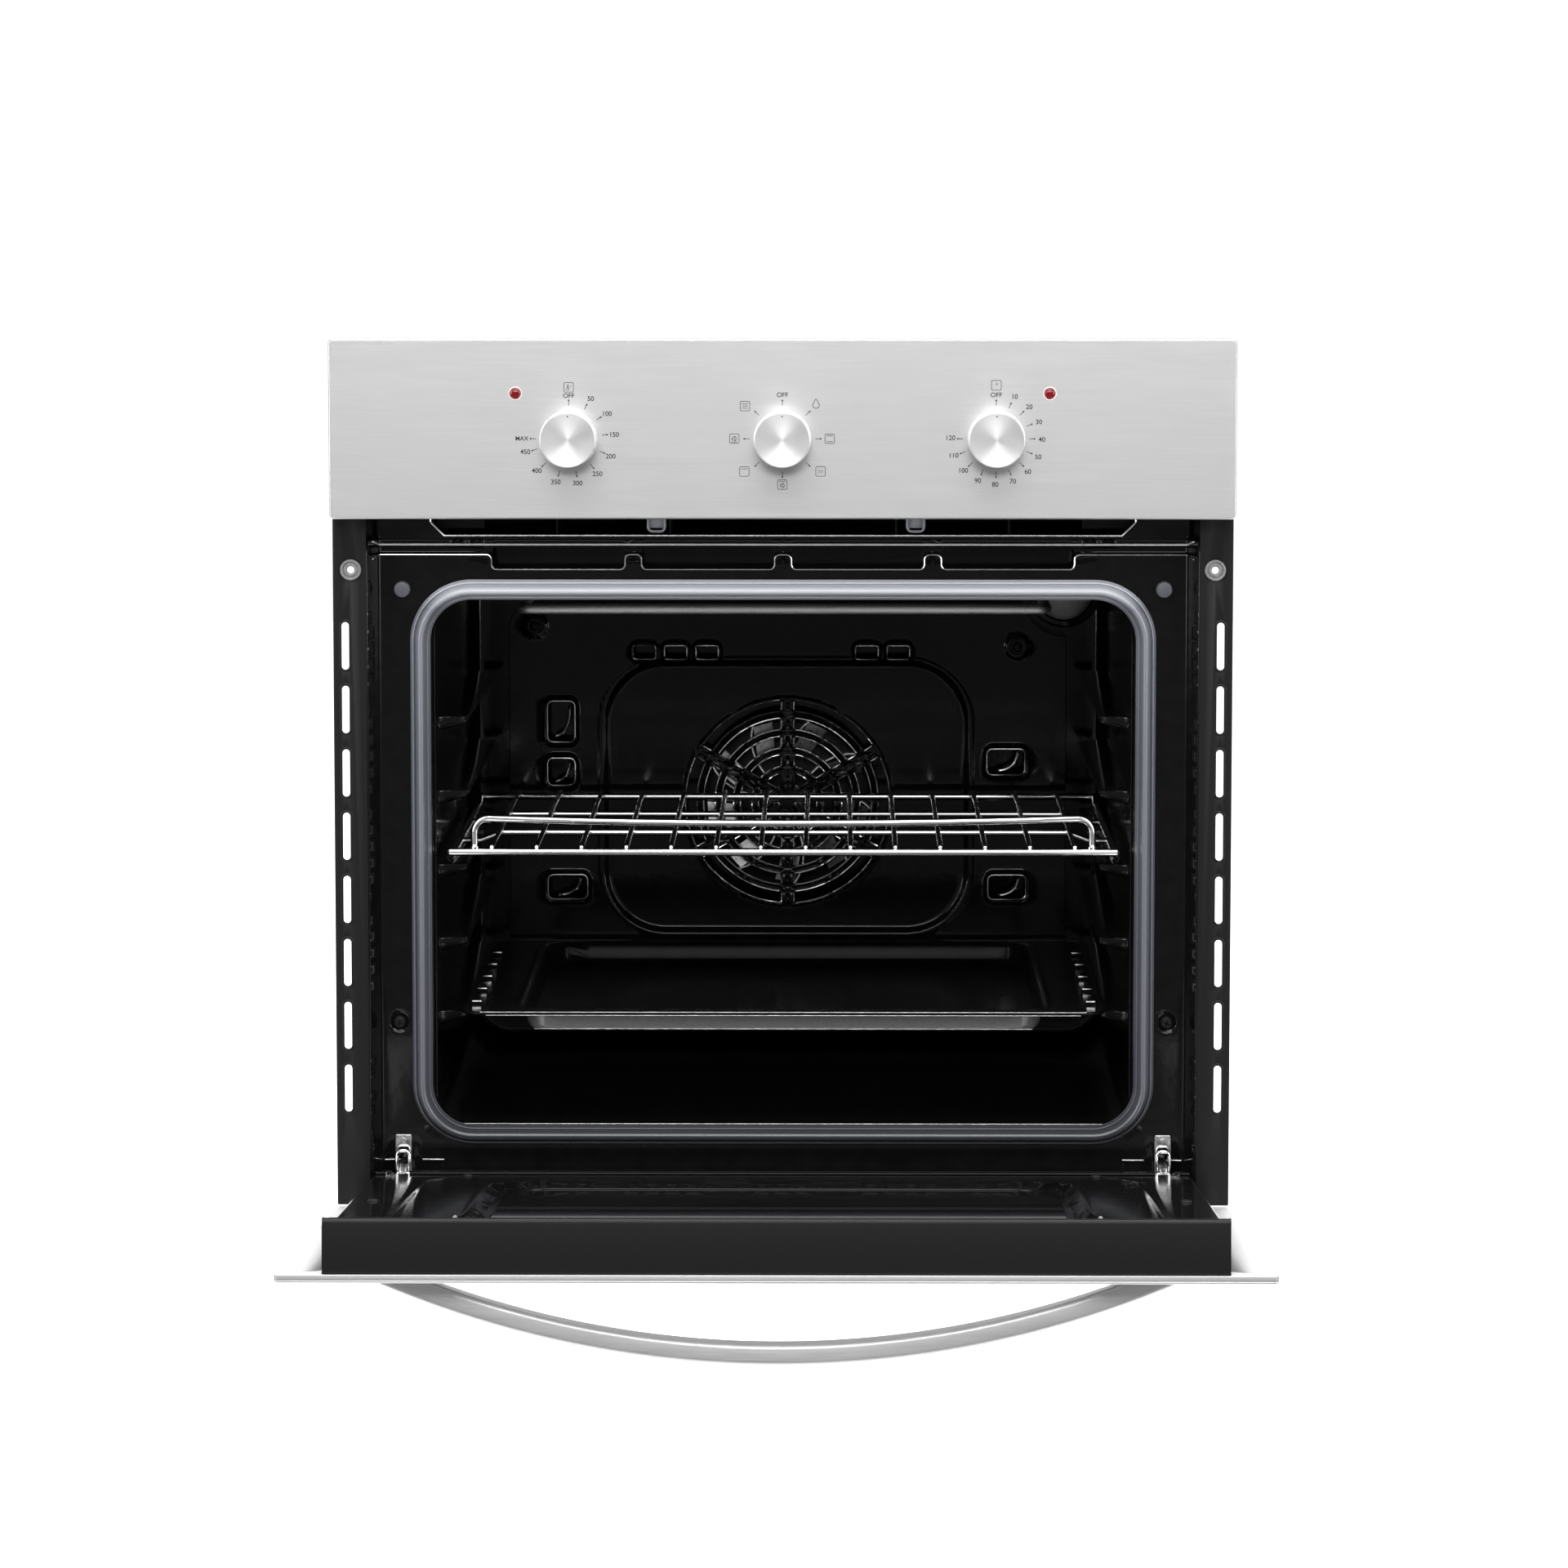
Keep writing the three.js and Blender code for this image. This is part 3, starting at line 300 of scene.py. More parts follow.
def from_object(carrier, place):
    """The mesh of a flat curve or text object, stood up to face -Y."""
    SCENE.collection.objects.link(carrier)
    mesh = bpy.data.meshes.new_from_object(carrier.evaluated_get(bpy.context.evaluated_depsgraph_get()))
    stand = place @ Matrix.Rotation(math.radians(90), 4, "X")
    points = [tuple(stand @ v.co) for v in mesh.vertices]
    faces = [tuple(p.vertices) for p in mesh.polygons]
    bpy.data.meshes.remove(mesh)
    bpy.data.objects.remove(carrier)
    return points, faces


def piece(name, part, finish, body, *nodes, place=None, sharp=32, thick=0.0, offset=0.0, facing=(0, -1, 0)):
    """A part made into an object that rides on a body and stands for the nodes. A thick sheet shows its facing side."""
    points, faces = part
    mesh = bpy.data.meshes.new(name)
    mesh.from_pydata([tuple(c * MM for c in p) for p in points], [], faces)
    work = bmesh.new()
    work.from_mesh(mesh)
    bmesh.ops.remove_doubles(work, verts=work.verts, dist=2e-6)
    bmesh.ops.dissolve_degenerate(work, edges=work.edges, dist=1e-7)
    bmesh.ops.recalc_face_normals(work, faces=work.faces)
    if thick and sum(f.calc_area() * f.normal.dot(Vector(facing)) for f in work.faces) < 0:
        bmesh.ops.reverse_faces(work, faces=work.faces)
    if place:
        work.transform(place)
    work.to_mesh(mesh)
    work.free()
    mesh.shade_smooth()
    mesh.set_sharp_from_angle(angle=math.radians(sharp))
    mesh.materials.append(finish)
    made = bpy.data.objects.new(name, mesh)
    SCENE.collection.objects.link(made)
    if thick:
        solid = made.modifiers.new("thickness", "SOLIDIFY")
        solid.thickness = thick * MM
        solid.offset = offset
    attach(made, body)
    if nodes:
        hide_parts(*nodes)
    return made


# ---- Materials ----
class Finish:
    """A node material: a Principled shader with its procedural colour, roughness and relief."""

    def __init__(self, name, metallic=0.0, roughness=0.5, **fixed):
        self.material = bpy.data.materials.new(name)
        self.material.use_nodes = True
        self.nodes = self.material.node_tree.nodes
        self.links = self.material.node_tree.links
        self.shader = self.nodes["Principled BSDF"]
        self.shader.inputs["Metallic"].default_value = metallic
        self.shader.inputs["Roughness"].default_value = roughness
        for socket, value in fixed.items():
            self.shader.inputs[socket.replace("_", " ")].default_value = value
        self.coordinates = self.node("ShaderNodeTexCoord")

    def node(self, kind, **values):
        made = self.nodes.new(kind)
        for key, value in values.items():
            if key in made.inputs:
                made.inputs[key].default_value = value
            else:
                setattr(made, key, value)
        return made

    def noise(self, scale, stretch=(1, 1, 1), detail=4.0, rough=0.55):
        mapping = self.node("ShaderNodeMapping")
        mapping.inputs["Scale"].default_value = [scale * s for s in stretch]
        self.links.new(self.coordinates.outputs["Object"], mapping.inputs["Vector"])
        noise = self.node("ShaderNodeTexNoise", Scale=1.0, Detail=detail, Roughness=rough)
        self.links.new(mapping.outputs["Vector"], noise.inputs["Vector"])
        return noise.outputs["Fac"]

    def ramp(self, factor, low, high, start=0.3, end=0.7):
        ramp = self.node("ShaderNodeValToRGB")
        ramp.color_ramp.elements[0].position = start
        ramp.color_ramp.elements[1].position = end
        ramp.color_ramp.elements[0].color = low
        ramp.color_ramp.elements[1].color = high
        self.links.new(factor, ramp.inputs["Fac"])
        return ramp.outputs["Color"]

    def colour(self, factor, low, high, start=0.3, end=0.7):
        shade = self.ramp(factor, (*low, 1), (*high, 1), start, end)
        self.links.new(shade, self.shader.inputs["Base Color"])
        return self

    def by_height(self, *stops):
        """Base colour changing with the height in metres."""
        split = self.node("ShaderNodeSeparateXYZ")
        self.links.new(self.coordinates.outputs["Object"], split.inputs["Vector"])
        ramp = self.node("ShaderNodeValToRGB")
        while len(ramp.color_ramp.elements) < len(stops):
            ramp.color_ramp.elements.new(1.0)
        for element, (height, shade) in zip(ramp.color_ramp.elements, stops):
            element.position = height
            element.color = (*shade, 1)
        self.links.new(split.outputs["Z"], ramp.inputs["Fac"])
        self.links.new(ramp.outputs["Color"], self.shader.inputs["Base Color"])
        return self

    def rough(self, factor, low, high, start=0.3, end=0.7):
        shade = self.ramp(factor, (low, low, low, 1), (high, high, high, 1), start, end)
        self.links.new(shade, self.shader.inputs["Roughness"])
        return self

    def bump(self, factor, height, distance=0.001):
        relief = self.node("ShaderNodeBump", Strength=height, Distance=distance)
        self.links.new(factor, relief.inputs["Height"])
        before = self.shader.inputs["Normal"]
        if before.is_linked:
            self.links.new(before.links[0].from_socket, relief.inputs["Normal"])
        self.links.new(relief.outputs["Normal"], before)
        return self


def grey(level, warm=0.0):
    return (level * (1 + warm), level, level * (1 - warm))


def brushed(name, stretch, low=0.475, high=0.515, roughness=(0.33, 0.38)):
    finish = Finish(name, metallic=1.0, Anisotropic=0.6, Anisotropic_Rotation=0.25)
    along = finish.node("ShaderNodeCombineXYZ", X=1.0)
    finish.links.new(along.outputs["Vector"], finish.shader.inputs["Tangent"])
    grain = finish.noise(2600, stretch, detail=5)
    finish.colour(grain, grey(low), grey(high))
    finish.rough(grain, *roughness)
    finish.bump(grain, 0.06, 0.00012)
    return finish.material


STEEL = brushed("brushed_stainless", (0.012, 1, 1))

HANDLE_STEEL = brushed("satin_stainless", (0.012, 1, 1), 0.50, 0.58, (0.34, 0.42))
# Painted shade: a darker copy of the brushed stainless for the door skin's rim, holding down the highlight that rim
# catches.
RIM_STEEL_PAINTED_SHADE = brushed("rim_stainless_painted_shade", (0.012, 1, 1), 0.28, 0.31, (0.42, 0.50))
# Painted light: a lighter copy of the brushed stainless for the door skin's hem, standing in for the light it shows.
HEM_STEEL_PAINTED_LIGHT = brushed("hem_stainless_painted_light", (0.012, 1, 1), 0.62, 0.66, (0.44, 0.50))

ENAMEL = Finish("black_enamel", roughness=0.10, Specular_IOR_Level=0.22)
orange_peel = ENAMEL.noise(90, detail=2)
ENAMEL.colour(orange_peel, grey(0.0025), grey(0.004))
ENAMEL.bump(orange_peel, 0.10, 0.0006)
ENAMEL = ENAMEL.material

TRAY_ENAMEL = Finish("tray_enamel", roughness=0.16, Specular_IOR_Level=0.05)
orange_peel = TRAY_ENAMEL.noise(90, detail=2)
TRAY_ENAMEL.colour(orange_peel, grey(0.0025), grey(0.004))
TRAY_ENAMEL.bump(orange_peel, 0.06, 0.0006)
TRAY_ENAMEL = TRAY_ENAMEL.material

# Painted highlight: bright grey metal standing in for light caught on the edges of black enamel sheets.
PAINTED_HIGHLIGHT_EDGE = Finish("enamel_edge_painted_highlight", metallic=1.0)
grain = PAINTED_HIGHLIGHT_EDGE.noise(300, detail=2)
PAINTED_HIGHLIGHT_EDGE.colour(grain, grey(0.55), grey(0.65))
PAINTED_HIGHLIGHT_EDGE.rough(grain, 0.16, 0.24)
PAINTED_HIGHLIGHT_EDGE = PAINTED_HIGHLIGHT_EDGE.material

# Painted highlight: near-white metal for black enamel lines that show as bright lines of light.
PAINTED_BRIGHT_HIGHLIGHT = Finish("bright_edge_painted_highlight", metallic=1.0)
grain = PAINTED_BRIGHT_HIGHLIGHT.noise(300, detail=2)
PAINTED_BRIGHT_HIGHLIGHT.colour(grain, grey(0.82), grey(0.90))
PAINTED_BRIGHT_HIGHLIGHT.rough(grain, 0.34, 0.42)
PAINTED_BRIGHT_HIGHLIGHT = PAINTED_BRIGHT_HIGHLIGHT.material

# Painted light: the tray's black enamel underside and outer walls made a mid-grey metal, standing in for the soft light
# on them.
TRAY_BASE_PAINTED_LIGHT = Finish("tray_underside_painted_light", metallic=0.6, roughness=0.40, Specular_IOR_Level=0.8)
grain = TRAY_BASE_PAINTED_LIGHT.noise(400, detail=3)
TRAY_BASE_PAINTED_LIGHT.colour(grain, grey(0.28), grey(0.33))
TRAY_BASE_PAINTED_LIGHT = TRAY_BASE_PAINTED_LIGHT.material

PAINT = Finish("black_paint", roughness=0.38, Specular_IOR_Level=0.17)
grain = PAINT.noise(1800, detail=3)
PAINT.colour(grain, grey(0.005), grey(0.007))
PAINT.bump(grain, 0.10, 0.00015)
PAINT = PAINT.material

ZINC = Finish("zinc", metallic=1.0)
grain = ZINC.noise(260, detail=6)
ZINC.colour(grain, grey(0.45), grey(0.62))
ZINC.rough(grain, 0.22, 0.38)
ZINC = ZINC.material

GALVANISED = Finish("galvanised", metallic=1.0)
spangle = GALVANISED.node("ShaderNodeTexVoronoi", Scale=230.0)
GALVANISED.links.new(GALVANISED.coordinates.outputs["Object"], spangle.inputs["Vector"])
GALVANISED.colour(spangle.outputs["Color"], grey(0.27), grey(0.32), 0.2, 0.8)
GALVANISED.rough(spangle.outputs["Color"], 0.46, 0.54, 0.2, 0.8)
GALVANISED = GALVANISED.material

CHROME = Finish("chrome_wire", metallic=1.0)
grain = CHROME.noise(420, detail=3)
CHROME.colour(grain, grey(0.78), grey(0.86))
CHROME.rough(grain, 0.10, 0.18)
CHROME = CHROME.material

SILICONE_PAINTED_SHADING = Finish("silicone", roughness=0.34, Specular_IOR_Level=0.75)
grain = SILICONE_PAINTED_SHADING.noise(240, detail=3)
# Painted light and shade: the base colour runs from dark at the bottom run to much lighter at the top run, standing in
# for light from above.
SILICONE_PAINTED_SHADING.by_height((0.048, (0.024, 0.025, 0.030)), (0.080, (0.065, 0.068, 0.082)), (0.300, (0.095, 0.100, 0.120)),
                   (0.398, (0.130, 0.135, 0.158)), (0.411, (0.35, 0.36, 0.39)))
SILICONE_PAINTED_SHADING.rough(grain, 0.30, 0.36)
SILICONE_PAINTED_SHADING = SILICONE_PAINTED_SHADING.material

RUBBER = Finish("bumper_rubber", roughness=0.42, Specular_IOR_Level=0.4)
grain = RUBBER.noise(500, detail=3)
RUBBER.colour(grain, (0.052, 0.055, 0.064), (0.066, 0.069, 0.080))
RUBBER = RUBBER.material

WOOL = Finish("mineral_wool", roughness=1.0)
grain = WOOL.noise(160, (1, 1, 3), detail=8)
WOOL.colour(grain, (0.40, 0.37, 0.24), (0.66, 0.63, 0.48))
WOOL.bump(grain, 0.8, 0.002)
WOOL = WOOL.material

GLASS = Finish("tinted_glass", roughness=0.03, Specular_IOR_Level=0.5)
grain = GLASS.noise(12, detail=1)
GLASS.colour(grain, grey(0.004), grey(0.006))
GLASS = GLASS.material

LAMP = Finish("lamp_glass", roughness=0.12, Transmission_Weight=0.55)
grain = LAMP.noise(300, detail=2)
LAMP.colour(grain, grey(0.80), grey(0.95))
LAMP.bump(grain, 0.1, 0.0004)
LAMP = LAMP.material

HEATER = Finish("heater_sheath", metallic=1.0)
grain = HEATER.noise(500, detail=4)
HEATER.colour(grain, grey(0.62), grey(0.72))
HEATER.rough(grain, 0.42, 0.50)
HEATER = HEATER.material

SPUN = Finish("spun_aluminium", metallic=1.0, Anisotropic=0.65, Anisotropic_Rotation=0.25)
round_face = SPUN.node("ShaderNodeTangent", direction_type="RADIAL", axis="Y")
SPUN.links.new(round_face.outputs["Tangent"], SPUN.shader.inputs["Tangent"])
grain = SPUN.noise(60, detail=1)
SPUN.colour(grain, grey(0.84), grey(0.88))
SPUN.rough(grain, 0.32, 0.34)
SPUN = SPUN.material

SPUN_PLAIN = Finish("pressed_aluminium", metallic=1.0)
grain = SPUN_PLAIN.noise(240, detail=4)
SPUN_PLAIN.colour(grain, grey(0.50), grey(0.66))
SPUN_PLAIN.rough(grain, 0.25, 0.42)
SPUN_PLAIN = SPUN_PLAIN.material

RED = Finish("red_lens", roughness=0.12)
grain = RED.noise(400, detail=2)
RED.colour(grain, (0.10, 0.001, 0.002), (0.15, 0.002, 0.004))
RED = RED.material

INK = Finish("dial_ink", roughness=0.55)
grain = INK.noise(900, detail=2)
INK.colour(grain, grey(0.003), grey(0.006))
INK = INK.material

# Painted highlight: a pale pink for the collar round each red lens, standing in for light bleeding out at the lens rim.
LENS_RING_PAINTED_HIGHLIGHT = Finish("lens_ring_painted_highlight", roughness=0.25)
grain = LENS_RING_PAINTED_HIGHLIGHT.noise(300, detail=2)
LENS_RING_PAINTED_HIGHLIGHT.colour(grain, (0.62, 0.50, 0.50), (0.72, 0.60, 0.60))
LENS_RING_PAINTED_HIGHLIGHT = LENS_RING_PAINTED_HIGHLIGHT.material

GROMMET = Finish("grommet_rubber", roughness=0.4)
grain = GROMMET.noise(500, detail=3)
GROMMET.colour(grain, grey(0.10), grey(0.16))
GROMMET = GROMMET.material

PLASTIC = Finish("white_plastic", roughness=0.5)
grain = PLASTIC.noise(900, detail=3)
PLASTIC.colour(grain, (0.70, 0.70, 0.66), (0.76, 0.76, 0.72))
PLASTIC.bump(grain, 0.05, 0.0002)
PLASTIC = PLASTIC.material

BY_SLOT = {
    "brushed_stainless": STEEL, "black_enamel": ENAMEL, "black_paint": PAINT, "zinc": ZINC,
    "galvanised": GALVANISED, "chrome_wire": CHROME, "silicone": SILICONE_PAINTED_SHADING, "mineral_wool": WOOL,
    "tinted_glass": GLASS, "lamp_glass": LAMP, "heater_sheath": HEATER, "spun_aluminium": SPUN,
    "red_lens": RED, "white_plastic": PLASTIC,
}
for part in frame["record"]["subparts"]:
    mesh = frame["nodes"][part["node"]].data
    mesh.materials.clear()
    mesh.materials.append(BY_SLOT[part["material_slot"]])
SLOT_OF = {finish.name: slot for slot, finish in BY_SLOT.items()}
SLOT_OF |= {INK.name: "black_paint", LENS_RING_PAINTED_HIGHLIGHT.name: "red_lens", GROMMET.name: "silicone", RUBBER.name: "silicone",
            SPUN_PLAIN.name: "spun_aluminium", TRAY_ENAMEL.name: "black_enamel",
            TRAY_BASE_PAINTED_LIGHT.name: "black_enamel", PAINTED_HIGHLIGHT_EDGE.name: "black_enamel",
            PAINTED_BRIGHT_HIGHLIGHT.name: "black_enamel",
            HANDLE_STEEL.name: "brushed_stainless", RIM_STEEL_PAINTED_SHADE.name: "brushed_stainless",
            HEM_STEEL_PAINTED_LIGHT.name: "brushed_stainless"}


def corners(node):
    """Lowest and highest x, y and z of a CAD node, in millimetres."""
    lo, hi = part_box(node)
    return [v / MM for pair in zip(lo, hi) for v in pair]


def curved(points, steps=4, closed=True):
    """A smooth curve through the points."""
    points = [Vector(p) for p in points]
    count, path = len(points), []
    for i in range(count if closed else count - 1):
        pick = [points[(i + k) % count] if closed else points[min(max(i + k, 0), count - 1)] for k in (-1, 0, 1, 2)]
        a, b, c, d = pick
        for k in range(steps):
            t = k / steps
            path.append(tuple(0.5 * ((2 * b) + (c - a) * t + (2 * a - 5 * b + 4 * c - d) * t * t
                                     + (3 * b - a - 3 * c + d) * t ** 3)))
    return path if closed else [*path, tuple(points[-1])]


def pan(loop, y0, y1, edge=1.0, sheet=1.2):
    """An open-backed pressed shell with a rounded front edge and a hemmed rear rim."""
    bend = [math.pi / 2 * k / 5 for k in range(6)]
    front = [(edge * (math.sin(a) - 1), y0 + edge * (1 - math.cos(a))) for a in bend]
    rear = [(0, y1 - 0.4), (-0.4, y1), (0.4 - sheet, y1), (-sheet, y1 - 0.4), (-sheet, y0 + sheet)]
    return rim(loop, [(-edge - 0.3, y0), *front, *rear])


SIDES = (("left", -1), ("right", 1))

# ---- Control panel ----
px0, px1, PANEL_FRONT, PANEL_REAR, PANEL_BOTTOM, PANEL_TOP = corners("control_panel")
piece("control_panel_face", pan(rounded_rect(px0, px1, PANEL_BOTTOM, PANEL_TOP, 3), PANEL_FRONT, PANEL_REAR),
      STEEL, "cabinet", "control_panel")

INK_LINE = 0.26
INK_Y = PANEL_FRONT - 0.02


def ink(path, closed=False, width=INK_LINE):
    """A printed line on the panel."""
    points, faces = tube([(x, 0, z) for x, z in path], width, 6, closed)
    return [(x, INK_Y + 0.12 * y, z) for x, y, z in points], faces


def lettering(text, size, x, z):
    curve = bpy.data.curves.new("print", "FONT")
    curve.body = text
    curve.size = size
    curve.offset = 0.06
    curve.align_x = "CENTER"
    curve.align_y = "CENTER"
    curve.extrude = 0.02
    return from_object(bpy.data.objects.new("print", curve), Matrix.Translation((x, INK_Y, z)))


def polar(x, z, degrees, radius):
    """A point at a clock angle round a dial."""
    angle = math.radians(degrees)
    return x + radius * math.sin(angle), z + radius * math.cos(angle)


def frame_icon(x, z, half=3.1):
    return ink(rounded_rect(x - half, x + half, z - half, z + half, 0.8, 3), closed=True, width=0.2)


def wave(x, z, half, height, count):
    steps = 2 * count
    return ink([(x - half + 2 * half * k / steps, z + (height if k % 2 else -height)) for k in range(steps + 1)],
               width=0.2)


def fan_icon(x, z, radius):
    blades = [ink([polar(x, z, 120 * k, 0.3), polar(x, z, 120 * k + 25, radius)], width=0.3) for k in range(3)]
    return merged(ink(circle(x, z, radius, 20), closed=True, width=0.18), *blades)


def bar(x, z, half=2.0):
    return ink([(x - half, z), (x + half, z)], width=0.22)


DIAL_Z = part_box("selector_knob")[0].z / MM + 19
DIALS = {name: (corners(f"{name}_knob")[0] + 19, DIAL_Z) for name in ("temperature", "selector", "timer")}
TICK_FROM, TICK_TO, NUMBER_AT = 21.6, 25.0, 29.8


def tick(x, z, degrees):
    path = [polar(x, z, degrees, TICK_FROM), polar(x, z, degrees, TICK_TO)]
    return merged(ink(path, width=0.22), ink([polar(x, z, degrees, TICK_TO - 0.5), path[1]], width=0.6))


def dial_print():
    parts = []
    x, z = DIALS["temperature"]
    for k in range(1, 10):
        parts += [tick(x, z, 28 * k), lettering(str(50 * k), 4.4, *polar(x, z, 28 * k + 1, NUMBER_AT))]
    parts += [tick(x, z, 0), tick(x, z, 270), lettering("MAX", 4.0, x - NUMBER_AT - 1.0, z)]
    parts += [lettering("OFF", 4.3, x, z + 28), frame_icon(x, z + 33.6), ink(circle(x - 0.5, z + 32.6, 0.9, 12), True, 0.2),
              ink([(x - 0.5, z + 33.6), (x - 0.5, z + 35.6)], width=0.35), ink([(x + 1, z + 34.8), (x + 1.9, z + 34.8)], width=0.12),
              ink([(x + 1, z + 33.8), (x + 1.9, z + 33.8)], width=0.12)]
    x, z = DIALS["timer"]
    for k in range(1, 13):
        parts += [tick(x, z, 22.5 * k), lettering(str(10 * k), 4.4, *polar(x, z, 22.5 * k + 1, NUMBER_AT + 0.2))]
    parts += [tick(x, z, 0), lettering("OFF", 4.3, x, z + 28.6), frame_icon(x, z + 35.0, 3.2),
              ink([(x, z + 37), (x, z + 35), (x + 1.2, z + 36.2)], width=0.22)]
    x, z = DIALS["selector"]
    for k in range(8):
        parts.append(tick(x, z, 45 * k))
    parts.append(lettering("OFF", 4.3, x, z + 28.6))
    dx, dz = x + 22, z + 23
    drop = curved([(dx, dz + 3.1), (dx - 1.3, dz + 0.9), (dx - 2.2, dz - 0.8), (dx - 1.5, dz - 2.5), (dx, dz - 3),
                   (dx + 1.5, dz - 2.5), (dx + 2.2, dz - 0.8), (dx + 1.3, dz + 0.9)])
    parts.append(ink(drop, closed=True, width=0.22))
    places = {"bake": (31.0, 0), "quick": (25.0, -21.4), "fan_top": (0, -30.0), "top": (-25.0, -21.4),
              "fan_both": (-31.5, 0), "warm": (-24.5, 21.4)}
    places = {key: (x + u, z + v) for key, (u, v) in places.items()}
    parts += [frame_icon(u, v) for u, v in places.values()]
    u, v = places["bake"]
    parts += [bar(u, v - 1.9), bar(u, v + 1.9)]
    u, v = places["quick"]
    parts += [ink([(u - 1.6 + s, v + 1.2), (u - 0.4 + s, v), (u - 1.6 + s, v - 1.2)], width=0.2) for s in (0, 1.8)]
    u, v = places["fan_top"]
    parts += [wave(u, v + 2.0, 2.0, 0.4, 3), fan_icon(u, v - 0.7, 1.4)]
    u, v = places["top"]
    parts.append(wave(u, v + 1.8, 2.0, 0.5, 3))
    u, v = places["fan_both"]
    parts += [fan_icon(u, v, 1.5), bar(u, v - 2.3)]
    u, v = places["warm"]
    parts += [wave(u, v + s, 1.9, 0.25, 2) for s in (-1.4, 0, 1.4)]
    return merged(*parts)


piece("panel_print", dial_print(), INK, "cabinet")

for side, sign in SIDES:
    ix0, ix1, iy0, iy1, iz0, iz1 = corners(f"{side}_indicator_lamp")
    x, z, r = (ix0 + ix1) / 2, (iz0 + iz1) / 2, (ix1 - ix0) / 2
    dome = [(r * math.sin(a), iy0 + 1.4 * (1 - math.cos(a))) for a in [math.pi / 2 * k / 8 for k in range(9)]]
    piece(f"{side}_indicator_lens", turned([*dome, (r, iy1), (0, iy1)], x, z), RED, "cabinet", f"{side}_indicator_lamp")
    # A collar round the lens in the pale pink painted-highlight finish.
    collar = curved([(r + 0.05, PANEL_FRONT + 0.2), (r + 0.1, PANEL_FRONT - 0.45), (r + 0.55, PANEL_FRONT - 0.5),
                     (r + 0.75, PANEL_FRONT + 0.2)], 3)
    piece(f"{side}_indicator_collar_painted_highlight", turned(collar, x, z), LENS_RING_PAINTED_HIGHLIGHT, "cabinet")

# ---- Knobs: a turned cap with a bright bevel, on the stub of its shaft ----
for name, (x, z) in DIALS.items():
    kx0, kx1, ky0, ky1, kz0, kz1 = corners(f"{name}_knob")
    face, back, r = ky0 + 0.5, PANEL_FRONT - 1, (kx1 - kx0) / 2
    cap = [(0, face + 0.05), (4, face + 0.05), (r - 1.9, face + 0.05), (r - 1.5, face), (r - 1.15, face + 0.05),
           (r - 0.75, face + 0.9), (r - 0.6, face + 1.4), (r - 0.15, back - 3), (r, back - 2.2), (r, back - 0.3), (r - 0.3, back),
           (r - 3, back), (r - 3, back - 1.2), (3.0, back - 1.2), (3.0, ky1), (0, ky1)]
    piece(f"{name}_knob_cap", turned(cap, x, z, 96), SPUN, f"{name}_knob", f"{name}_knob", sharp=24)
    dot = moved(turned([(0, -0.12), (0.45, -0.1), (0.55, 0.1), (0, 0.1)], count=16), x, face + 0.05, z + r - 3.6)
    piece(f"{name}_knob_mark", dot, INK, f"{name}_knob")

# ---- Mounting strips ----
SLOT_X, SLOT_TOP, SLOT_PITCH, SLOT_COUNT = 289.5, 374.6, 42.27, 8
MOUNT_X, MOUNT_Z = 285.6, 425.0
for side, sign in SIDES:
    mx0, mx1, my0, my1, mz0, mz1 = corners(f"{side}_mounting_strip")
    strip_rear = my0 + 1.5
    inner, outer = sorted((abs(mx0), abs(mx1)))
    slots = [rounded_rect(SLOT_X - 2.5, SLOT_X + 2.5, SLOT_TOP - SLOT_PITCH * i - 15.8, SLOT_TOP - SLOT_PITCH * i + 15.8, 2.45, 6)
             for i in range(SLOT_COUNT)]
    sheet = plate(rounded_rect(inner, outer, mz0, mz1, 1.0, 3), [*slots, circle(MOUNT_X, MOUNT_Z, 4.6)], my0, strip_rear, 0.35)
    leg = block(280.3, 281.8, my0 + 0.8, my1, mz0, mz1, 0.4)
    rims = [rim(slot, curved([(0.0, my0 + 0.5), (0.15, my0 - 0.05), (0.9, my0 - 0.22), (1.7, my0 + 0.05), (1.7, my0 + 0.5)], 2),
                closed=True) for slot in slots]
    strip = merged(sheet, leg, *rims)
    if sign < 0:
        strip = [(-x, y, z) for x, y, z in strip[0]], strip[1]
    piece(f"{side}_strip", strip, PAINT, "cabinet", f"{side}_mounting_strip")
    gx0, gx1, gy0, gy1, gz0, gz1 = corners(f"{side}_mount_grommet")
    ring = [(2.5, gy1), (2.5, gy0 + 0.9), (2.9, gy0 + 0.3), (3.6, gy0 + 0.1), (4.3, gy0 + 0.4), (4.5, gy0 + 0.9), (5.2, gy0 + 0.9),
            (5.4, gy0 + 0.3), (5.9, gy0), (6.5, gy0 + 0.1), (7, gy0 + 0.7), (7, gy0 + 1.6), (4.2, gy0 + 1.6), (4.2, gy1)]
    piece(f"{side}_grommet", turned(ring, sign * MOUNT_X, MOUNT_Z, 40), GROMMET, "cabinet", f"{side}_mount_grommet", sharp=50)

# ---- Front frame round the cavity mouth ----
fx0, fx1, fy0, fy1, fz0, fz1 = corners("front_frame")
FRAME_FRONT = fy1 - 1.2
FRAME_HALF = 268.5
FLANGE_REACH = 275.2
MOUTH = (-233, 233, 47, 408)
MOUTH_RADIUS = 30
NOTCHES = [(i - 1.5) * 99.5 for i in range(4)]
NOTCH_HALF, NOTCH_LOW = 44.3, 424.0
TROUGH = (433.8, 440.4)
HINGE_X = 254.5
SCREW_X, SCREW_Z = 256.5, 120.3


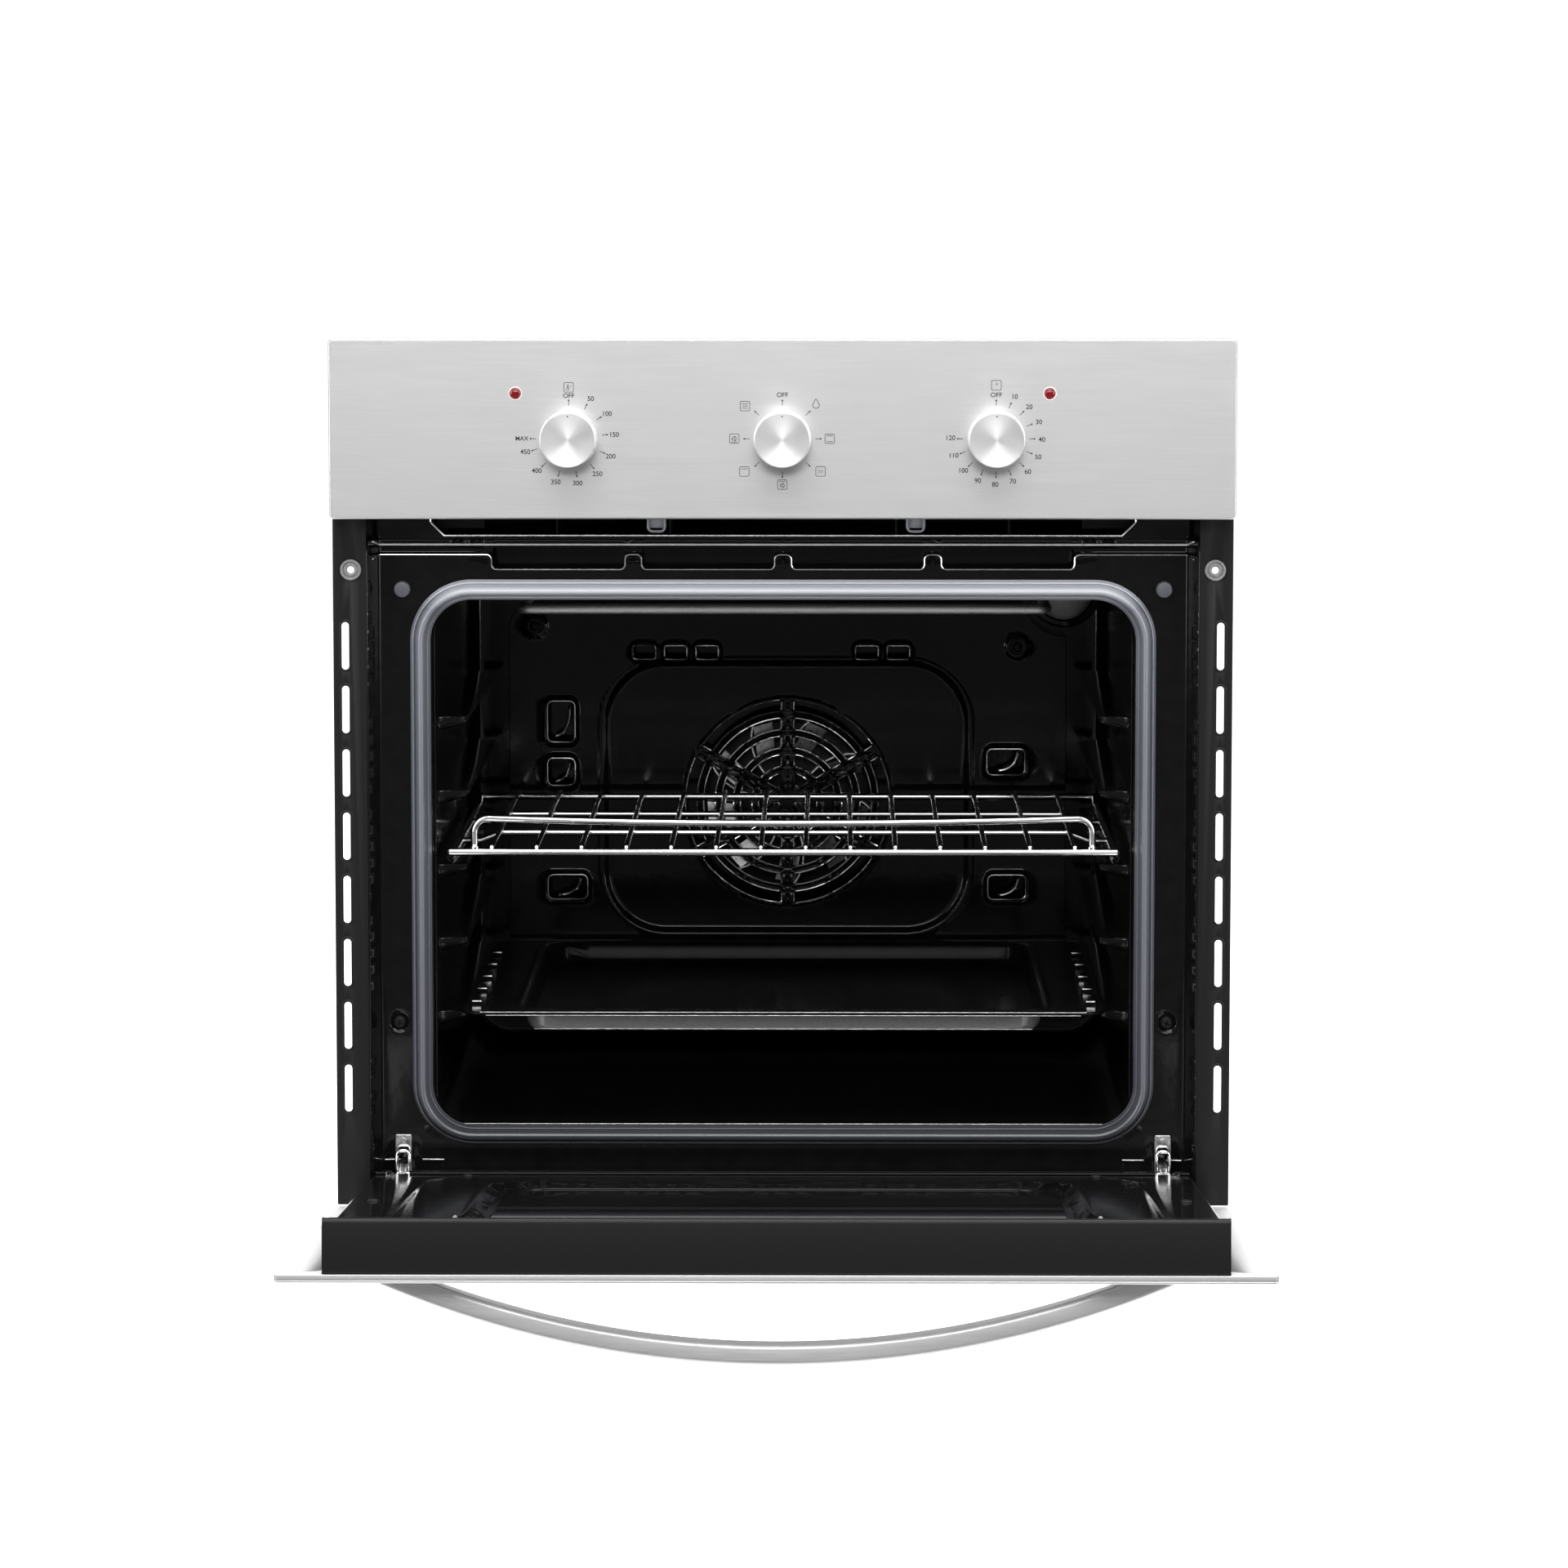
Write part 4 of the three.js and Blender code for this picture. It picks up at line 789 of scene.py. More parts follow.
def frame_height(x, z):
    away = abs(x) - FRAME_HALF
    y = FRAME_FRONT - 2.79 * 0.5 * (away + math.sqrt(away * away + 0.5))
    lip = box_distance(x, z, *MOUTH, MOUTH_RADIUS)
    if lip < 4:
        y += 4 - math.sqrt(max(0.0, 16 - (4 - max(lip, 0)) ** 2))
    dish = math.hypot(abs(x) - SCREW_X, z - SCREW_Z)
    y += 1.3 * (1 - smooth((dish - 4.8) / 2.6))
    y += 2.2 * smooth((29 - z) / 4) * smooth((abs(x) - 226) / 3) * (1 - smooth((abs(x) - 266) / 2))
    y += 5.5 * smooth((z - TROUGH[0]) / 1.5) * (1 - 0.85 * smooth((z - TROUGH[1] + 1.5) / 1.5))
    return y


notch_loops = [rounded_rect(x - NOTCH_HALF, x + NOTCH_HALF, NOTCH_LOW, TROUGH[1] - 1.5, 3.6, 6) for x in NOTCHES]
receiver_loops = [rounded_rect(s * HINGE_X - 5.8, s * HINGE_X + 5.8, 5.7, 44.6, 0.8, 2) for s in (-1, 1)]
mouth_loop = rounded_rect(*MOUTH, MOUTH_RADIUS, 16)
half_lines = lines((0, 222, 12), (222, 262, 2.5), (262, 271, 0.6), (271, FLANGE_REACH, 1.0))
frame_xs = sorted({s * x for x in half_lines for s in (-1, 1)})
frame_sheet = stamped(
    [(x, fz0) for x in frame_xs] + [(x, fz1) for x in reversed(frame_xs)],
    [mouth_loop, *notch_loops, *receiver_loops], frame_xs,
    lines((fz0, 22, 3), (22, 32, 0.8), (32, 60, 4), (60, 108, 8), (108, 133, 1.6), (133, 418, 10), (418, 432.5, 2), (432.5, fz1, 0.45)),
    frame_height, rings=(0, 0.35, 0.8, 1.5, 2.5, 4.0))
frame_piece = piece("front_frame_sheet", frame_sheet, ENAMEL, "cabinet", "front_frame", thick=1.0, offset=-1)


def bead(path, radius=0.55, closed=True):
    """A thin round line along the rolled edge of a sheet; the pieces made from it wear a bright finish as a painted
    highlight.
    """
    return tube(path, radius, 8, closed)


def on_frame(points, lift=0.15):
    return [(x, frame_height(x, z) - lift, z) for x, z in points]


low, high = TROUGH
# Painted highlights: thin bright lines along the notches, the trough, the receivers and the cavity sill.
frame_highlight_lines = []
path = [(-272, low - 2.6), (-268.5, low)]
for x in NOTCHES:
    path += [(x - NOTCH_HALF, low), (x - NOTCH_HALF, NOTCH_LOW), (x + NOTCH_HALF, NOTCH_LOW), (x + NOTCH_HALF, low)]
path += [(268.5, low), (272, low - 2.6)]
drawn = filleted(path, 3.4, 6, closed=False)
frame_highlight_lines.append(bead([(x, min(frame_height(x, low - 0.6), FRAME_FRONT) - 0.2, z) for x, z in drawn], closed=False))
# Painted highlight: a near-white line along the top of the trough.
upper = filleted([(-272, high + 2.8), (-268.5, high + 0.2), (268.5, high + 0.2), (272, high + 2.8)], 2.5, 6, closed=False)
piece("frame_top_edge_painted_highlight", bead([(x, frame_height(x, low - 0.6) - 0.7, z) for x, z in upper], 0.8, closed=False), PAINTED_BRIGHT_HIGHLIGHT,
      "cabinet")
for x in (-249.4, 249.4):
    for reach in ((-18, -7.5), (7.5, 22)) if x < 0 else ((-22, -7.5), (7.5, 18)):
        frame_highlight_lines.append(bead(on_frame([(x + reach[0], 27.2), (x + reach[1], 27.2)]), closed=False))
for step in (0.0, 2.2):
    frame_highlight_lines.append(bead([(-214, FRAME_FRONT + 2.4 + step, 48.6 + step), (214, FRAME_FRONT + 2.4 + step, 48.6 + step)],
                           0.4, closed=False))
piece("frame_painted_highlight_edges", merged(*frame_highlight_lines), PAINTED_HIGHLIGHT_EDGE, "cabinet")
baffle = merged(block(-262, 262, FRAME_FRONT + 29, FRAME_FRONT + 30.5, 413.5, 440, 0.4),
                block(-262, 262, FRAME_FRONT + 29, 204, 437.6, 438.8, 0.4))
piece("frame_baffle", baffle, ENAMEL, "cabinet")
_, duct_half, _, _, duct_low, _ = corners("air_duct")
u, v = duct_half + 1.2, duct_low - 0.3
surround_loop = [(-277, 441), (277, 441), (277, 459.5), (u, 459.5), (u, v + 8.7), (u - 8.6, v), (8.6 - u, v), (-u, v + 8.7),
                 (-u, 459.5), (-277, 459.5)]
piece("duct_surround", plate(surround_loop, [], FRAME_FRONT + 2.2, FRAME_FRONT + 3.2, 0.2), ENAMEL, "cabinet")

for side, sign in SIDES:
    bx0, bx1, by0, by1, bz0, bz1 = corners(f"{side}_door_bumper")
    r, back = (bx1 - bx0) / 2, FRAME_FRONT - 0.2
    pad = [(0, by0), (r - 1.6, by0 + 0.05), (r - 0.7, by0 + 0.35), (r - 0.15, by0 + 1.1), (r, back - 0.8), (r, back), (0, back)]
    piece(f"{side}_bumper", turned(pad, (bx0 + bx1) / 2, (bz0 + bz1) / 2), RUBBER, "cabinet", f"{side}_door_bumper")
    sy0 = corners(f"{side}_frame_screw")[2]
    head = turned([(0, sy0 + 0.25), (1.4, sy0), (3.2, sy0 + 0.3), (4.1, sy0 + 1.1), (4.4, sy0 + 2.0), (4.4, FRAME_FRONT + 1.2),
                   (0, FRAME_FRONT + 1.2)], sign * SCREW_X, SCREW_Z)
    cross = [moved(block(-2.2, 2.2, -0.25, 0.5, -0.45, 0.45, 0.1), sign * SCREW_X, sy0 + 0.1, SCREW_Z,
                   Matrix.Rotation(math.radians(a), 4, "Y")) for a in (20, 110)]
    piece(f"{side}_screw_head", head, PAINT, "cabinet", f"{side}_frame_screw")
    piece(f"{side}_screw_cross", merged(*cross), ENAMEL, "cabinet")
    small = [(0, FRAME_FRONT - 1.6), (1.2, FRAME_FRONT - 1.5), (2.2, FRAME_FRONT - 0.9), (2.5, FRAME_FRONT + 0.3), (0, FRAME_FRONT + 0.3)]
    piece(f"{side}_small_screw", turned(small, sign * 238.3, 48.7, 24), PAINT, "cabinet")

# ---- Outer panels: pressed ribs and fixing screws ----
PX = corners("right_side_panel")[1]
RY = corners("rear_panel")[3]
TZ = corners("top_cover")[5]
FACINGS = {"left": Matrix(((0, 0, -1), (1, 0, 0), (0, 1, 0))), "right": Matrix(((0, 0, 1), (1, 0, 0), (0, 1, 0))),
           "rear": Matrix(((-1, 0, 0), (0, 0, 1), (0, 1, 0))), "top": Matrix(((1, 0, 0), (0, 1, 0), (0, 0, 1)))}


def on_panel(part, name, at):
    """A part drawn as (along, across, outwards) laid on an outer face of the cabinet."""
    turn = FACINGS[name]
    return [tuple(turn @ Vector((x, y, at + z))) for x, y, z in part[0]], part[1]


def rib(x0, x1, y0, y1, radius):
    """A pressed rib: a rounded ridge along a closed outline."""
    points, faces = tube([(x, y, 0) for x, y in rounded_rect(x0, x1, y0, y1, radius, 8)], 3.2, 12, True)
    return [(x, y, 0.34 * z) for x, y, z in points], faces


def panel_screw(x, y):
    head = turned([(0, -1.5), (2.4, -1.4), (3.6, -0.7), (3.9, 0.2), (0, 0.2)], count=20)
    return moved(([(a, c, -b) for a, b, c in head[0]], head[1]), x, y, 0)


layout = {
    "left": (PX, [rib(-200, 150, 60, 390, 26), rib(-140, 90, 120, 330, 20)],
             [(y, z) for y in (-235, -80, 80, 245) for z in (14, 545)]),
    "right": (PX, [rib(-200, 150, 60, 390, 26), rib(-140, 90, 120, 330, 20)],
              [(y, z) for y in (-235, -80, 80, 245) for z in (14, 545)]),
    "rear": (RY, [rib(-230, 230, 50, 350, 26), rib(-95, 95, 130, 310, 20)],
             [(x, z) for x in (-266, -133, 0, 133, 266) for z in (14, 545)]),
    "top": (TZ, [rib(-235, 235, -190, 60, 26), rib(-150, 150, -140, 10, 18)],
            [(x, y) for x in (-266, -133, 0, 133, 266) for y in (-245, 248)]),
}
for name, (at, ribs, screws) in layout.items():
    piece(f"{name}_panel_ribs", on_panel(merged(*ribs), name, at), GALVANISED, "cabinet")
    piece(f"{name}_panel_screws", on_panel(merged(*[panel_screw(*s) for s in screws]), name, at), ZINC, "cabinet")

# ---- Door gasket ----
gx0, gx1, gy0, gy1, gz0, gz1 = corners("door_gasket")
gasket_loop = rounded_rect(gx0, gx1, gz0, gz1, 40, 20)
gasket_profile = curved([
    (0, gy1), (0, gy1 - 2.6), (-0.5, gy1 - 4.3), (-1.5, gy1 - 4.8), (-2.3, gy1 - 3.6), (-2.9, gy1 - 5.6), (-3.5, gy1 - 8.8),
    (-4.9, gy1 - 10.9), (-6.4, gy1 - 11.5), (-7.9, gy1 - 10.8), (-9.0, gy1 - 8.6), (-9.4, gy1 - 5.8), (-9.8, gy1 - 4.4),
    (-10.6, gy1 - 5.0), (-11.3, gy1 - 4.2), (-11.6, gy1 - 2.4), (-11.6, gy1)], 3)
# The gasket's finish paints its top run lighter and its bottom run darker by height.
piece("gasket", rim(gasket_loop, gasket_profile, closed=True), SILICONE_PAINTED_SHADING, "cabinet", "door_gasket", sharp=60)


# ---- Cavity liner: a welded box with pressed runners ----
LINER_FRONT, LINER_REAR = FRAME_FRONT + 4.4, 178.5
lx0, lx1, _, _, lz0, lz1 = corners("cavity_liner")
CAVITY = (lx0 + 1, lx1 - 1, lz0 + 1, lz1 - 1)
LEVELS = [124.5, 174.2, 224.0, 273.8, 323.5]
RUNNER_FRONT, RUNNER_REAR, RUNNER_REACH = -221.5, 140.5, 20.0


def runner_reach(y, z):
    """How far the side wall is pressed inwards at a point."""
    end = min(smooth((y - RUNNER_FRONT) / 9), smooth((RUNNER_REAR - y) / 9))
    if not end:
        return 0.0
    for level in LEVELS:
        if level - 12.5 < z < level + 1.2:
            top = smooth((level + 0.9 - z) / 1.3)
            under = smooth((z - level + 11.5) / 7.5)
            return end * (RUNNER_REACH - 0.6) * top * under
    return 0.0


def liner_section():
    """Cavity outline with closer points where the runners are."""
    x0, x1, z0, z1 = CAVITY
    heights = lines(*[(a, b, 12) for a, b in zip([z0 + 27, *[v + 2 for v in LEVELS]], [*[v - 12.5 for v in LEVELS], z1 - 27])],
                    *[(v - 12.5, v - 2, 1.05) for v in LEVELS], *[(v - 2, v + 2, 0.5) for v in LEVELS])
    loop = []
    for k, (x, z) in enumerate(rounded_rect(x0, x1, z0, z1, 26, 10)):
        loop.append((x, z))
        if k == 10:
            loop += [(x1, h) for h in heights[1:-1]]
        elif k == 32:
            loop += [(x0, h) for h in heights[-2:0:-1]]
    return loop


def liner_ring(y):
    ring = []
    for x, z in section:
        reach = runner_reach(y, z) if abs(x) > CAVITY[1] - 0.01 else 0.0
        ring.append((x - math.copysign(reach, x), y, z))
    return ring


section = liner_section()
depths = lines((LINER_FRONT, RUNNER_FRONT, 6), (RUNNER_FRONT, RUNNER_FRONT + 9, 1), (RUNNER_FRONT + 9, RUNNER_REAR - 9, 14),
               (RUNNER_REAR - 9, RUNNER_REAR, 1), (RUNNER_REAR, LINER_REAR - 9, 6))
rings = [liner_ring(y) for y in depths]
for k in range(1, 7):
    angle = math.radians(15 * k)
    rings.append(at_y(grown(section, -9 * (1 - math.cos(angle))), LINER_REAR - 9 + 9 * math.sin(angle)))
rings.append(at_y(grown(section, -14), LINER_REAR))
shell = loft(rings, caps=False)
back_start = len(shell[0]) - len(section)
shell[1].append(tuple(range(back_start, len(shell[0]))))
piece("liner_shell", shell, ENAMEL, "cabinet", "cavity_liner", thick=0.9, offset=-1, sharp=50)

# ---- Fan cover: pressed sheet with raised rims round every opening ----
COVER_FRONT, COVER_REAR = 152.5, 178.2
cx0, cx1, _, _, cz0, cz1 = corners("fan_cover")
FAN_Z = 226.0
LAMP_X, LAMP_Z = 203.0, 379.0
GRILLE_INNER, GRILLE_PITCH, GRILLE_SLOT, GRILLE_BAR = 13.0, 13.4, 8.4, 4.5


def arc_slot(r0, r1, start, end, half_bar):
    """A slot between two radii and two bars of even width, with rounded ends."""
    loop = []
    for radius, forward in ((r1, True), (r0, False)):
        inset = math.degrees(math.asin(half_bar / radius))
        a, b = start + inset, end - inset
        steps = max(3, round((b - a) * radius / 190))
        turn = range(steps + 1) if forward else range(steps, -1, -1)
        loop += [(radius * math.cos(math.radians(a + (b - a) * k / steps)),
                  FAN_Z + radius * math.sin(math.radians(a + (b - a) * k / steps))) for k in turn]
    return rounded_slot(loop)


def rounded_slot(loop):
    """The four sharp corners of a slot replaced by arcs."""
    sharp = []
    for i, point in enumerate(loop):
        before = Vector(point) - Vector(loop[i - 1])
        after = Vector(loop[(i + 1) % len(loop)]) - Vector(point)
        sharp.append((point, 2.6) if before.angle(after) > math.radians(50) else (point, 0.01))
    return [p for p in filleted(sharp, 0, 4)]


grille = []
for ring in range(5):
    r0 = GRILLE_INNER + ring * GRILLE_PITCH
    grille += [arc_slot(r0, r0 + GRILLE_SLOT, a - 60, a, GRILLE_BAR) for a in (90, 30, -30, -90, -150, -210)]
windows = [rounded_rect(*w, 4, 4) for w in ((-176, -156, 270, 300), (-176, -156, 238, 258), (-176, -147, 154, 172),
                                            (146, 174, 246, 265), (147, 175, 154, 172))]
vents = [rounded_rect(x - 8.3, x + 8.3, 331, 341, 2, 3) for x in (-105, -82, -59, 58, 81)]
COVER_SCREWS = ((-184.5, 355), (168, 340))
SUNK = (-135, 133, 129, 330)


def cover_outline():
    """Rounded rectangle with a bite round the lamp."""
    loop = []
    for x, z in rounded_rect(cx0, cx1, cz0, cz1, 18, 6):
        if math.hypot(x - LAMP_X, z - LAMP_Z) > 31:
            loop.append((x, z))
        elif not any(math.hypot(u - LAMP_X, v - LAMP_Z) < 31.1 for u, v in loop):
            start, end = math.radians(271.5), math.radians(193.0)
            loop += [(LAMP_X + 31 * math.cos(start + (end - start) * k / 14),
                      LAMP_Z + 31 * math.sin(start + (end - start) * k / 14)) for k in range(15)]
    return loop


def rim_lift(distance, width=1.6, height=1.9):
    """The rolled edge round an opening."""
    t = (distance - width) / width
    return height * math.exp(-t * t * 1.6)


def cover_height(x, z):
    y = COVER_FRONT + 2.0
    dip = box_distance(x, z, *SUNK, 46)
    y += 2.6 * (1 - smooth((dip + 5.0) / 5.0))
    y -= 0.9 * math.exp(-((dip - 1.0) / 1.2) ** 2)
    radius, turn = math.hypot(x, z - FAN_Z), math.degrees(math.atan2(z - FAN_Z, x))
    if radius < 84:
        offset = abs((turn + 30) % 60 - 30)
        across = radius * math.sin(math.radians(offset)) if radius > 1 else 0
        ring = (radius - GRILLE_INNER) % GRILLE_PITCH
        gap_bar = across - GRILLE_BAR
        gap_ring = max(ring - GRILLE_SLOT, -ring) if radius > GRILLE_INNER - 4 else 99
        if radius > GRILLE_INNER + 4 * GRILLE_PITCH + GRILLE_SLOT:
            gap_ring = radius - (GRILLE_INNER + 4 * GRILLE_PITCH + GRILLE_SLOT)
            y -= rim_lift(math.hypot(gap_ring, max(0, -gap_bar)), 1.2, 1.1)
        else:
            near = min(abs(v) for v in (ring, ring - GRILLE_SLOT, GRILLE_PITCH - ring))
            bar_near = -gap_bar if gap_bar < 0 else 99
            y -= max(rim_lift(near, 1.2, 1.5) if gap_bar > 0 else 0, rim_lift(bar_near, 1.4, 1.2) if gap_bar < 0 else 0)
    for x0, x1, z0, z1 in WINDOW_BOXES:
        away = box_distance(x, z, x0, x1, z0, z1, 4)
        if -1 < away < 8:
            y -= rim_lift(away)
    for sx, sz in COVER_SCREWS:
        y -= 1.6 * (1 - smooth((math.hypot(x - sx, z - sz) - 7.5) / 2.5))
    return y


WINDOW_BOXES = [(-176, -156, 270, 300), (-176, -156, 238, 258), (-176, -147, 154, 172), (146, 174, 246, 265),
                (147, 175, 154, 172), *[(x - 8.3, x + 8.3, 331, 341) for x in (-105, -82, -59, 58, 81)]]
cover_loop = cover_outline()
fine = lines((-84, 84, 1.7))
cover_xs = lines((-200, -178, 4), (-178, -145, 1.3), (-145, -112, 2), (-112, -86, 1.6), (-84, 84, 1.7), (86, 110, 1.6),
                 (110, 144, 2), (144, 177, 1.3), (177, 200, 4))
cover_zs = lines((70, 124, 5), (124, 142, 1.6), (142, 312, 1.7), (312, 346, 1.3), (346, 368, 3))
cover_sheet = stamped(cover_loop, [*grille, *windows, *vents], cover_xs, cover_zs, cover_height,
                      rings=(0.0, 0.5, 1.1, 1.8, 2.6), edge_rings=(0.0, 0.6, 1.4))
piece("fan_cover_sheet", cover_sheet, ENAMEL, "cabinet", "fan_cover", thick=0.9, offset=-1, sharp=60)
skirt = rim(cover_loop, [(-0.4, COVER_FRONT + 2.2), (0, COVER_FRONT + 2.7), (0, COVER_REAR), (-1, COVER_REAR),
                         (-1, COVER_FRONT + 3.0)], closed=True)
piece("fan_cover_skirt", skirt, ENAMEL, "cabinet")
for k, (sx, sz) in enumerate(COVER_SCREWS):
    y = COVER_FRONT
    head = turned([(0, y - 1.7), (2.6, y - 1.4), (3.6, y - 0.4), (3.9, y + 0.6), (5.6, y + 0.2), (6.2, y + 0.9), (6.2, y + 1.4), (0, y + 1.4)],
                  sx, sz, 32)
    piece(f"cover_screw_{k + 1}", head, PAINT, "cabinet")
# Painted highlights: bright lines round every slot, window and vent of the cover.
cover_highlight_beads = [bead([(x, cover_height(x, z) - 0.1, z) for x, z in loop], 0.7) for loop in (*grille, *windows, *vents)]
piece("cover_painted_highlight_edges", merged(*cover_highlight_beads), PAINTED_HIGHLIGHT_EDGE, "cabinet")
# Painted reflections: bright hook-shaped lines set behind the cover windows, standing in for reflections seen in them.
reflection_hooks = []
for x0, x1, z0, z1 in WINDOW_BOXES[:5]:
    swing = [(x0 + (x1 - x0) * u, COVER_FRONT + 9 - 3 * v, z0 + (z1 - z0) * v)
             for u, v in ((0.25, 0.1), (0.5, 0.18), (0.68, 0.35), (0.78, 0.6), (0.82, 0.9))]
    reflection_hooks.append(tube(curved(swing, 5, closed=False), 1.5, 10))
piece("cover_painted_reflection_hooks", merged(*reflection_hooks), PAINTED_HIGHLIGHT_EDGE, "cabinet")

# ---- Fan impeller behind the grille ----
ix0, ix1, iy0, iy1, _, _ = corners("fan_impeller")
impeller_r = (ix1 - ix0) / 2
BLADE_FRONT, DISC_Y = iy0 + 2.5, iy0 + 15.5
fan_parts = [turned([(0, DISC_Y - 0.6), (impeller_r - 2, DISC_Y - 0.6), (impeller_r, DISC_Y), (impeller_r - 1, DISC_Y + 0.7),
                     (0, DISC_Y + 0.7)], 0, FAN_Z, 64),
             turned([(0, iy0 + 0.2), (5, iy0 + 0.2), (8, iy0 + 2.4), (8, DISC_Y), (4, DISC_Y), (4, iy1), (0, iy1)], 0, FAN_Z, 32)]
for k in range(9):
    start = 40 * k
    section_points = [polar(0, FAN_Z, start + 16 * t * t, 22 + 40 * t) for t in [j / 8 for j in range(9)]]
    blade = []
    for j, (x, z) in enumerate(section_points):
        u, v = section_points[min(j + 1, 8)]
        w, q = section_points[max(j - 1, 0)]
        side = Vector((v - q, w - u)).normalized() * 0.5
        blade.append([(x + side.x, BLADE_FRONT, z + side.y), (x - side.x, BLADE_FRONT, z - side.y),
                      (x - side.x, DISC_Y, z - side.y), (x + side.x, DISC_Y, z + side.y)])
    fan_parts.append(loft(blade))
for k in range(9):
    near, far = polar(0, FAN_Z, 40 * k + 5, 38), polar(0, FAN_Z, 40 * k + 15, 60)
    u, v = polar(0, FAN_Z, 40 * k + 26, 40), polar(0, FAN_Z, 40 * k + 29, 59)
    flap = [[(x, BLADE_FRONT + drop + t, z) for (x, z), drop in ((near, 0), (far, 0), (v, 5), (u, 5))] for t in (0, 0.8)]
    fan_parts.append(loft(flap))
piece("impeller_hub", merged(*fan_parts[:2]), PAINT, "fan_impeller", "fan_impeller")
piece("impeller_blades", merged(*fan_parts[2:]), SPUN_PLAIN, "fan_impeller")

# ---- Lamp, grill element and probe ----
seat = corners("lamp_glass")[3]
dome = [(20 * math.sin(math.radians(a)), seat - 4 - 13 * math.cos(math.radians(a))) for a in range(0, 91, 6)]
piece("lamp_dome", turned([*dome, (20, seat - 2), (22, seat - 1.6), (22, seat), (0, seat)], LAMP_X, LAMP_Z, 64), LAMP, "cabinet", "lamp_glass")
lamp_ring = turned([(19.6, seat - 1.2), (22, seat - 3.2), (25.5, seat - 2.8), (26.6, seat - 0.6), (26.6, seat), (19.6, seat)],
                   LAMP_X, LAMP_Z, 64)
piece("lamp_collar", lamp_ring, ENAMEL, "cabinet")
gx0, gx1, gy0, gy1, gz0, gz1 = corners("grill_element")
element_z, element_r = (gz0 + gz1) / 2, 3.6
half, front = gx1 - element_r, gy0 + element_r
element = filleted([(-30, gy1, element_z), (-30, 95, element_z), (-half, 95, element_z), (-half, front, element_z),
                    (half, front, element_z), (half, 95, element_z), (30, 95, element_z), (30, gy1, element_z)], 7, 10, closed=False)
piece("grill_tube", tube(element, element_r, 20), HEATER, "cabinet", "grill_element")
px, _, py0, py1, pz0, pz1 = corners("temperature_probe")
probe_y, probe_z = (py0 + py1) / 2, (pz0 + pz1) / 2
bulb = tube([(px + 2, probe_y, probe_z), (-px - 2, probe_y, probe_z)], 2.1, 16)
piece("probe_bulb", bulb, CHROME, "cabinet", "temperature_probe")

# ---- Wire rack ----
wx0, wx1, wy0, wy1, wz0, wz1 = corners("wire_rack")
RAIL_Z, BAR_R = LEVELS[2] + 2.7, 2.7
BAR_Z, DECK_Z = RAIL_Z + 6.5, RAIL_Z + 9.7
RACK_FRONT, RACK_REAR, RAIL_X, DECK_HALF = wy0 + 2.7, wy1 - 2.5, 224.0, 195.3
rack = [tube([(-RAIL_X - 2, y, BAR_Z), (RAIL_X + 2, y, BAR_Z)], BAR_R, 16) for y in (RACK_FRONT, RACK_REAR)]
for sign in (-1, 1):
    rail = filleted([(sign * RAIL_X, RACK_FRONT, BAR_Z), (sign * RAIL_X, RACK_FRONT + 12, RAIL_Z),
                     (sign * RAIL_X, RACK_REAR - 12, RAIL_Z), (sign * RAIL_X, RACK_REAR, BAR_Z)], 9, 6, closed=False)
    rack.append(tube(rail, BAR_R, 16))
for part in (1 / 3, 2 / 3):
    y = RACK_FRONT + (RACK_REAR - RACK_FRONT) * part
    cross_bar = filleted([(-RAIL_X, y, RAIL_Z + 1), (-RAIL_X + 14, y, RAIL_Z + 1), (-DECK_HALF, y, BAR_Z), (DECK_HALF, y, BAR_Z),
                          (RAIL_X - 14, y, RAIL_Z + 1), (RAIL_X, y, RAIL_Z + 1)], 7, 5, closed=False)
    rack.append(tube(cross_bar, 2.2, 14))
for k in range(14):
    x = k * 30.05 - DECK_HALF
    rack.append(tube([(x, RACK_FRONT - 1.6, DECK_Z + 0.1), (x, RACK_REAR + 2.2, DECK_Z + 0.1)], 1.75, 12))
    rack += [moved(tube([(0, -2.4, 0), (0, 2.4, 0)], 1.5, 8), x, y, BAR_Z + 1.9) for y in (RACK_FRONT, RACK_REAR)]
piece("rack_wires", merged(*rack), CHROME, "wire_rack", "wire_rack")
LOOP_X, LOOP_TOP = 207.0, BAR_Z + 23
foot = BAR_Z + BAR_R
loop_line = [(-LOOP_X, RACK_FRONT, foot - 0.2), (-LOOP_X, RACK_FRONT, LOOP_TOP)]
bow = [(LOOP_X * (k / 6), RACK_FRONT - 21 * (1 - (k / 6) ** 2), LOOP_TOP - 1.2 * (1 - (k / 6) ** 2)) for k in range(-5, 6)]
loop_line += [((x, y, z), 60.0) for x, y, z in bow]
loop_line += [(LOOP_X, RACK_FRONT, LOOP_TOP), (LOOP_X, RACK_FRONT, foot - 0.2)]
loop_path = filleted(loop_line, 10, 8, closed=False)
welds = [turned([(0, -2.8), (2.6, -1.2), (3.1, 0.4), (2.4, 1.8), (0, 2.6)], 0, 0, 12)]
blobs = [moved(welds[0], s * LOOP_X, RACK_FRONT, foot + 0.6, Matrix.Rotation(math.radians(90), 4, "X")) for s in (-1, 1)]
piece("pull_loop", merged(tube(loop_path, 2.45, 16), *blobs), CHROME, "wire_rack", "rack_loop")

# ---- Baking tray ----
tx0, tx1, ty0, ty1, tz0, tz1 = corners("baking_tray")
RIM_Z = tz1 - 2
PAN = (-176.0, 176.0, ty0 + 14, ty1 - 16)
PAN_FLOOR = tz0 + 0.8


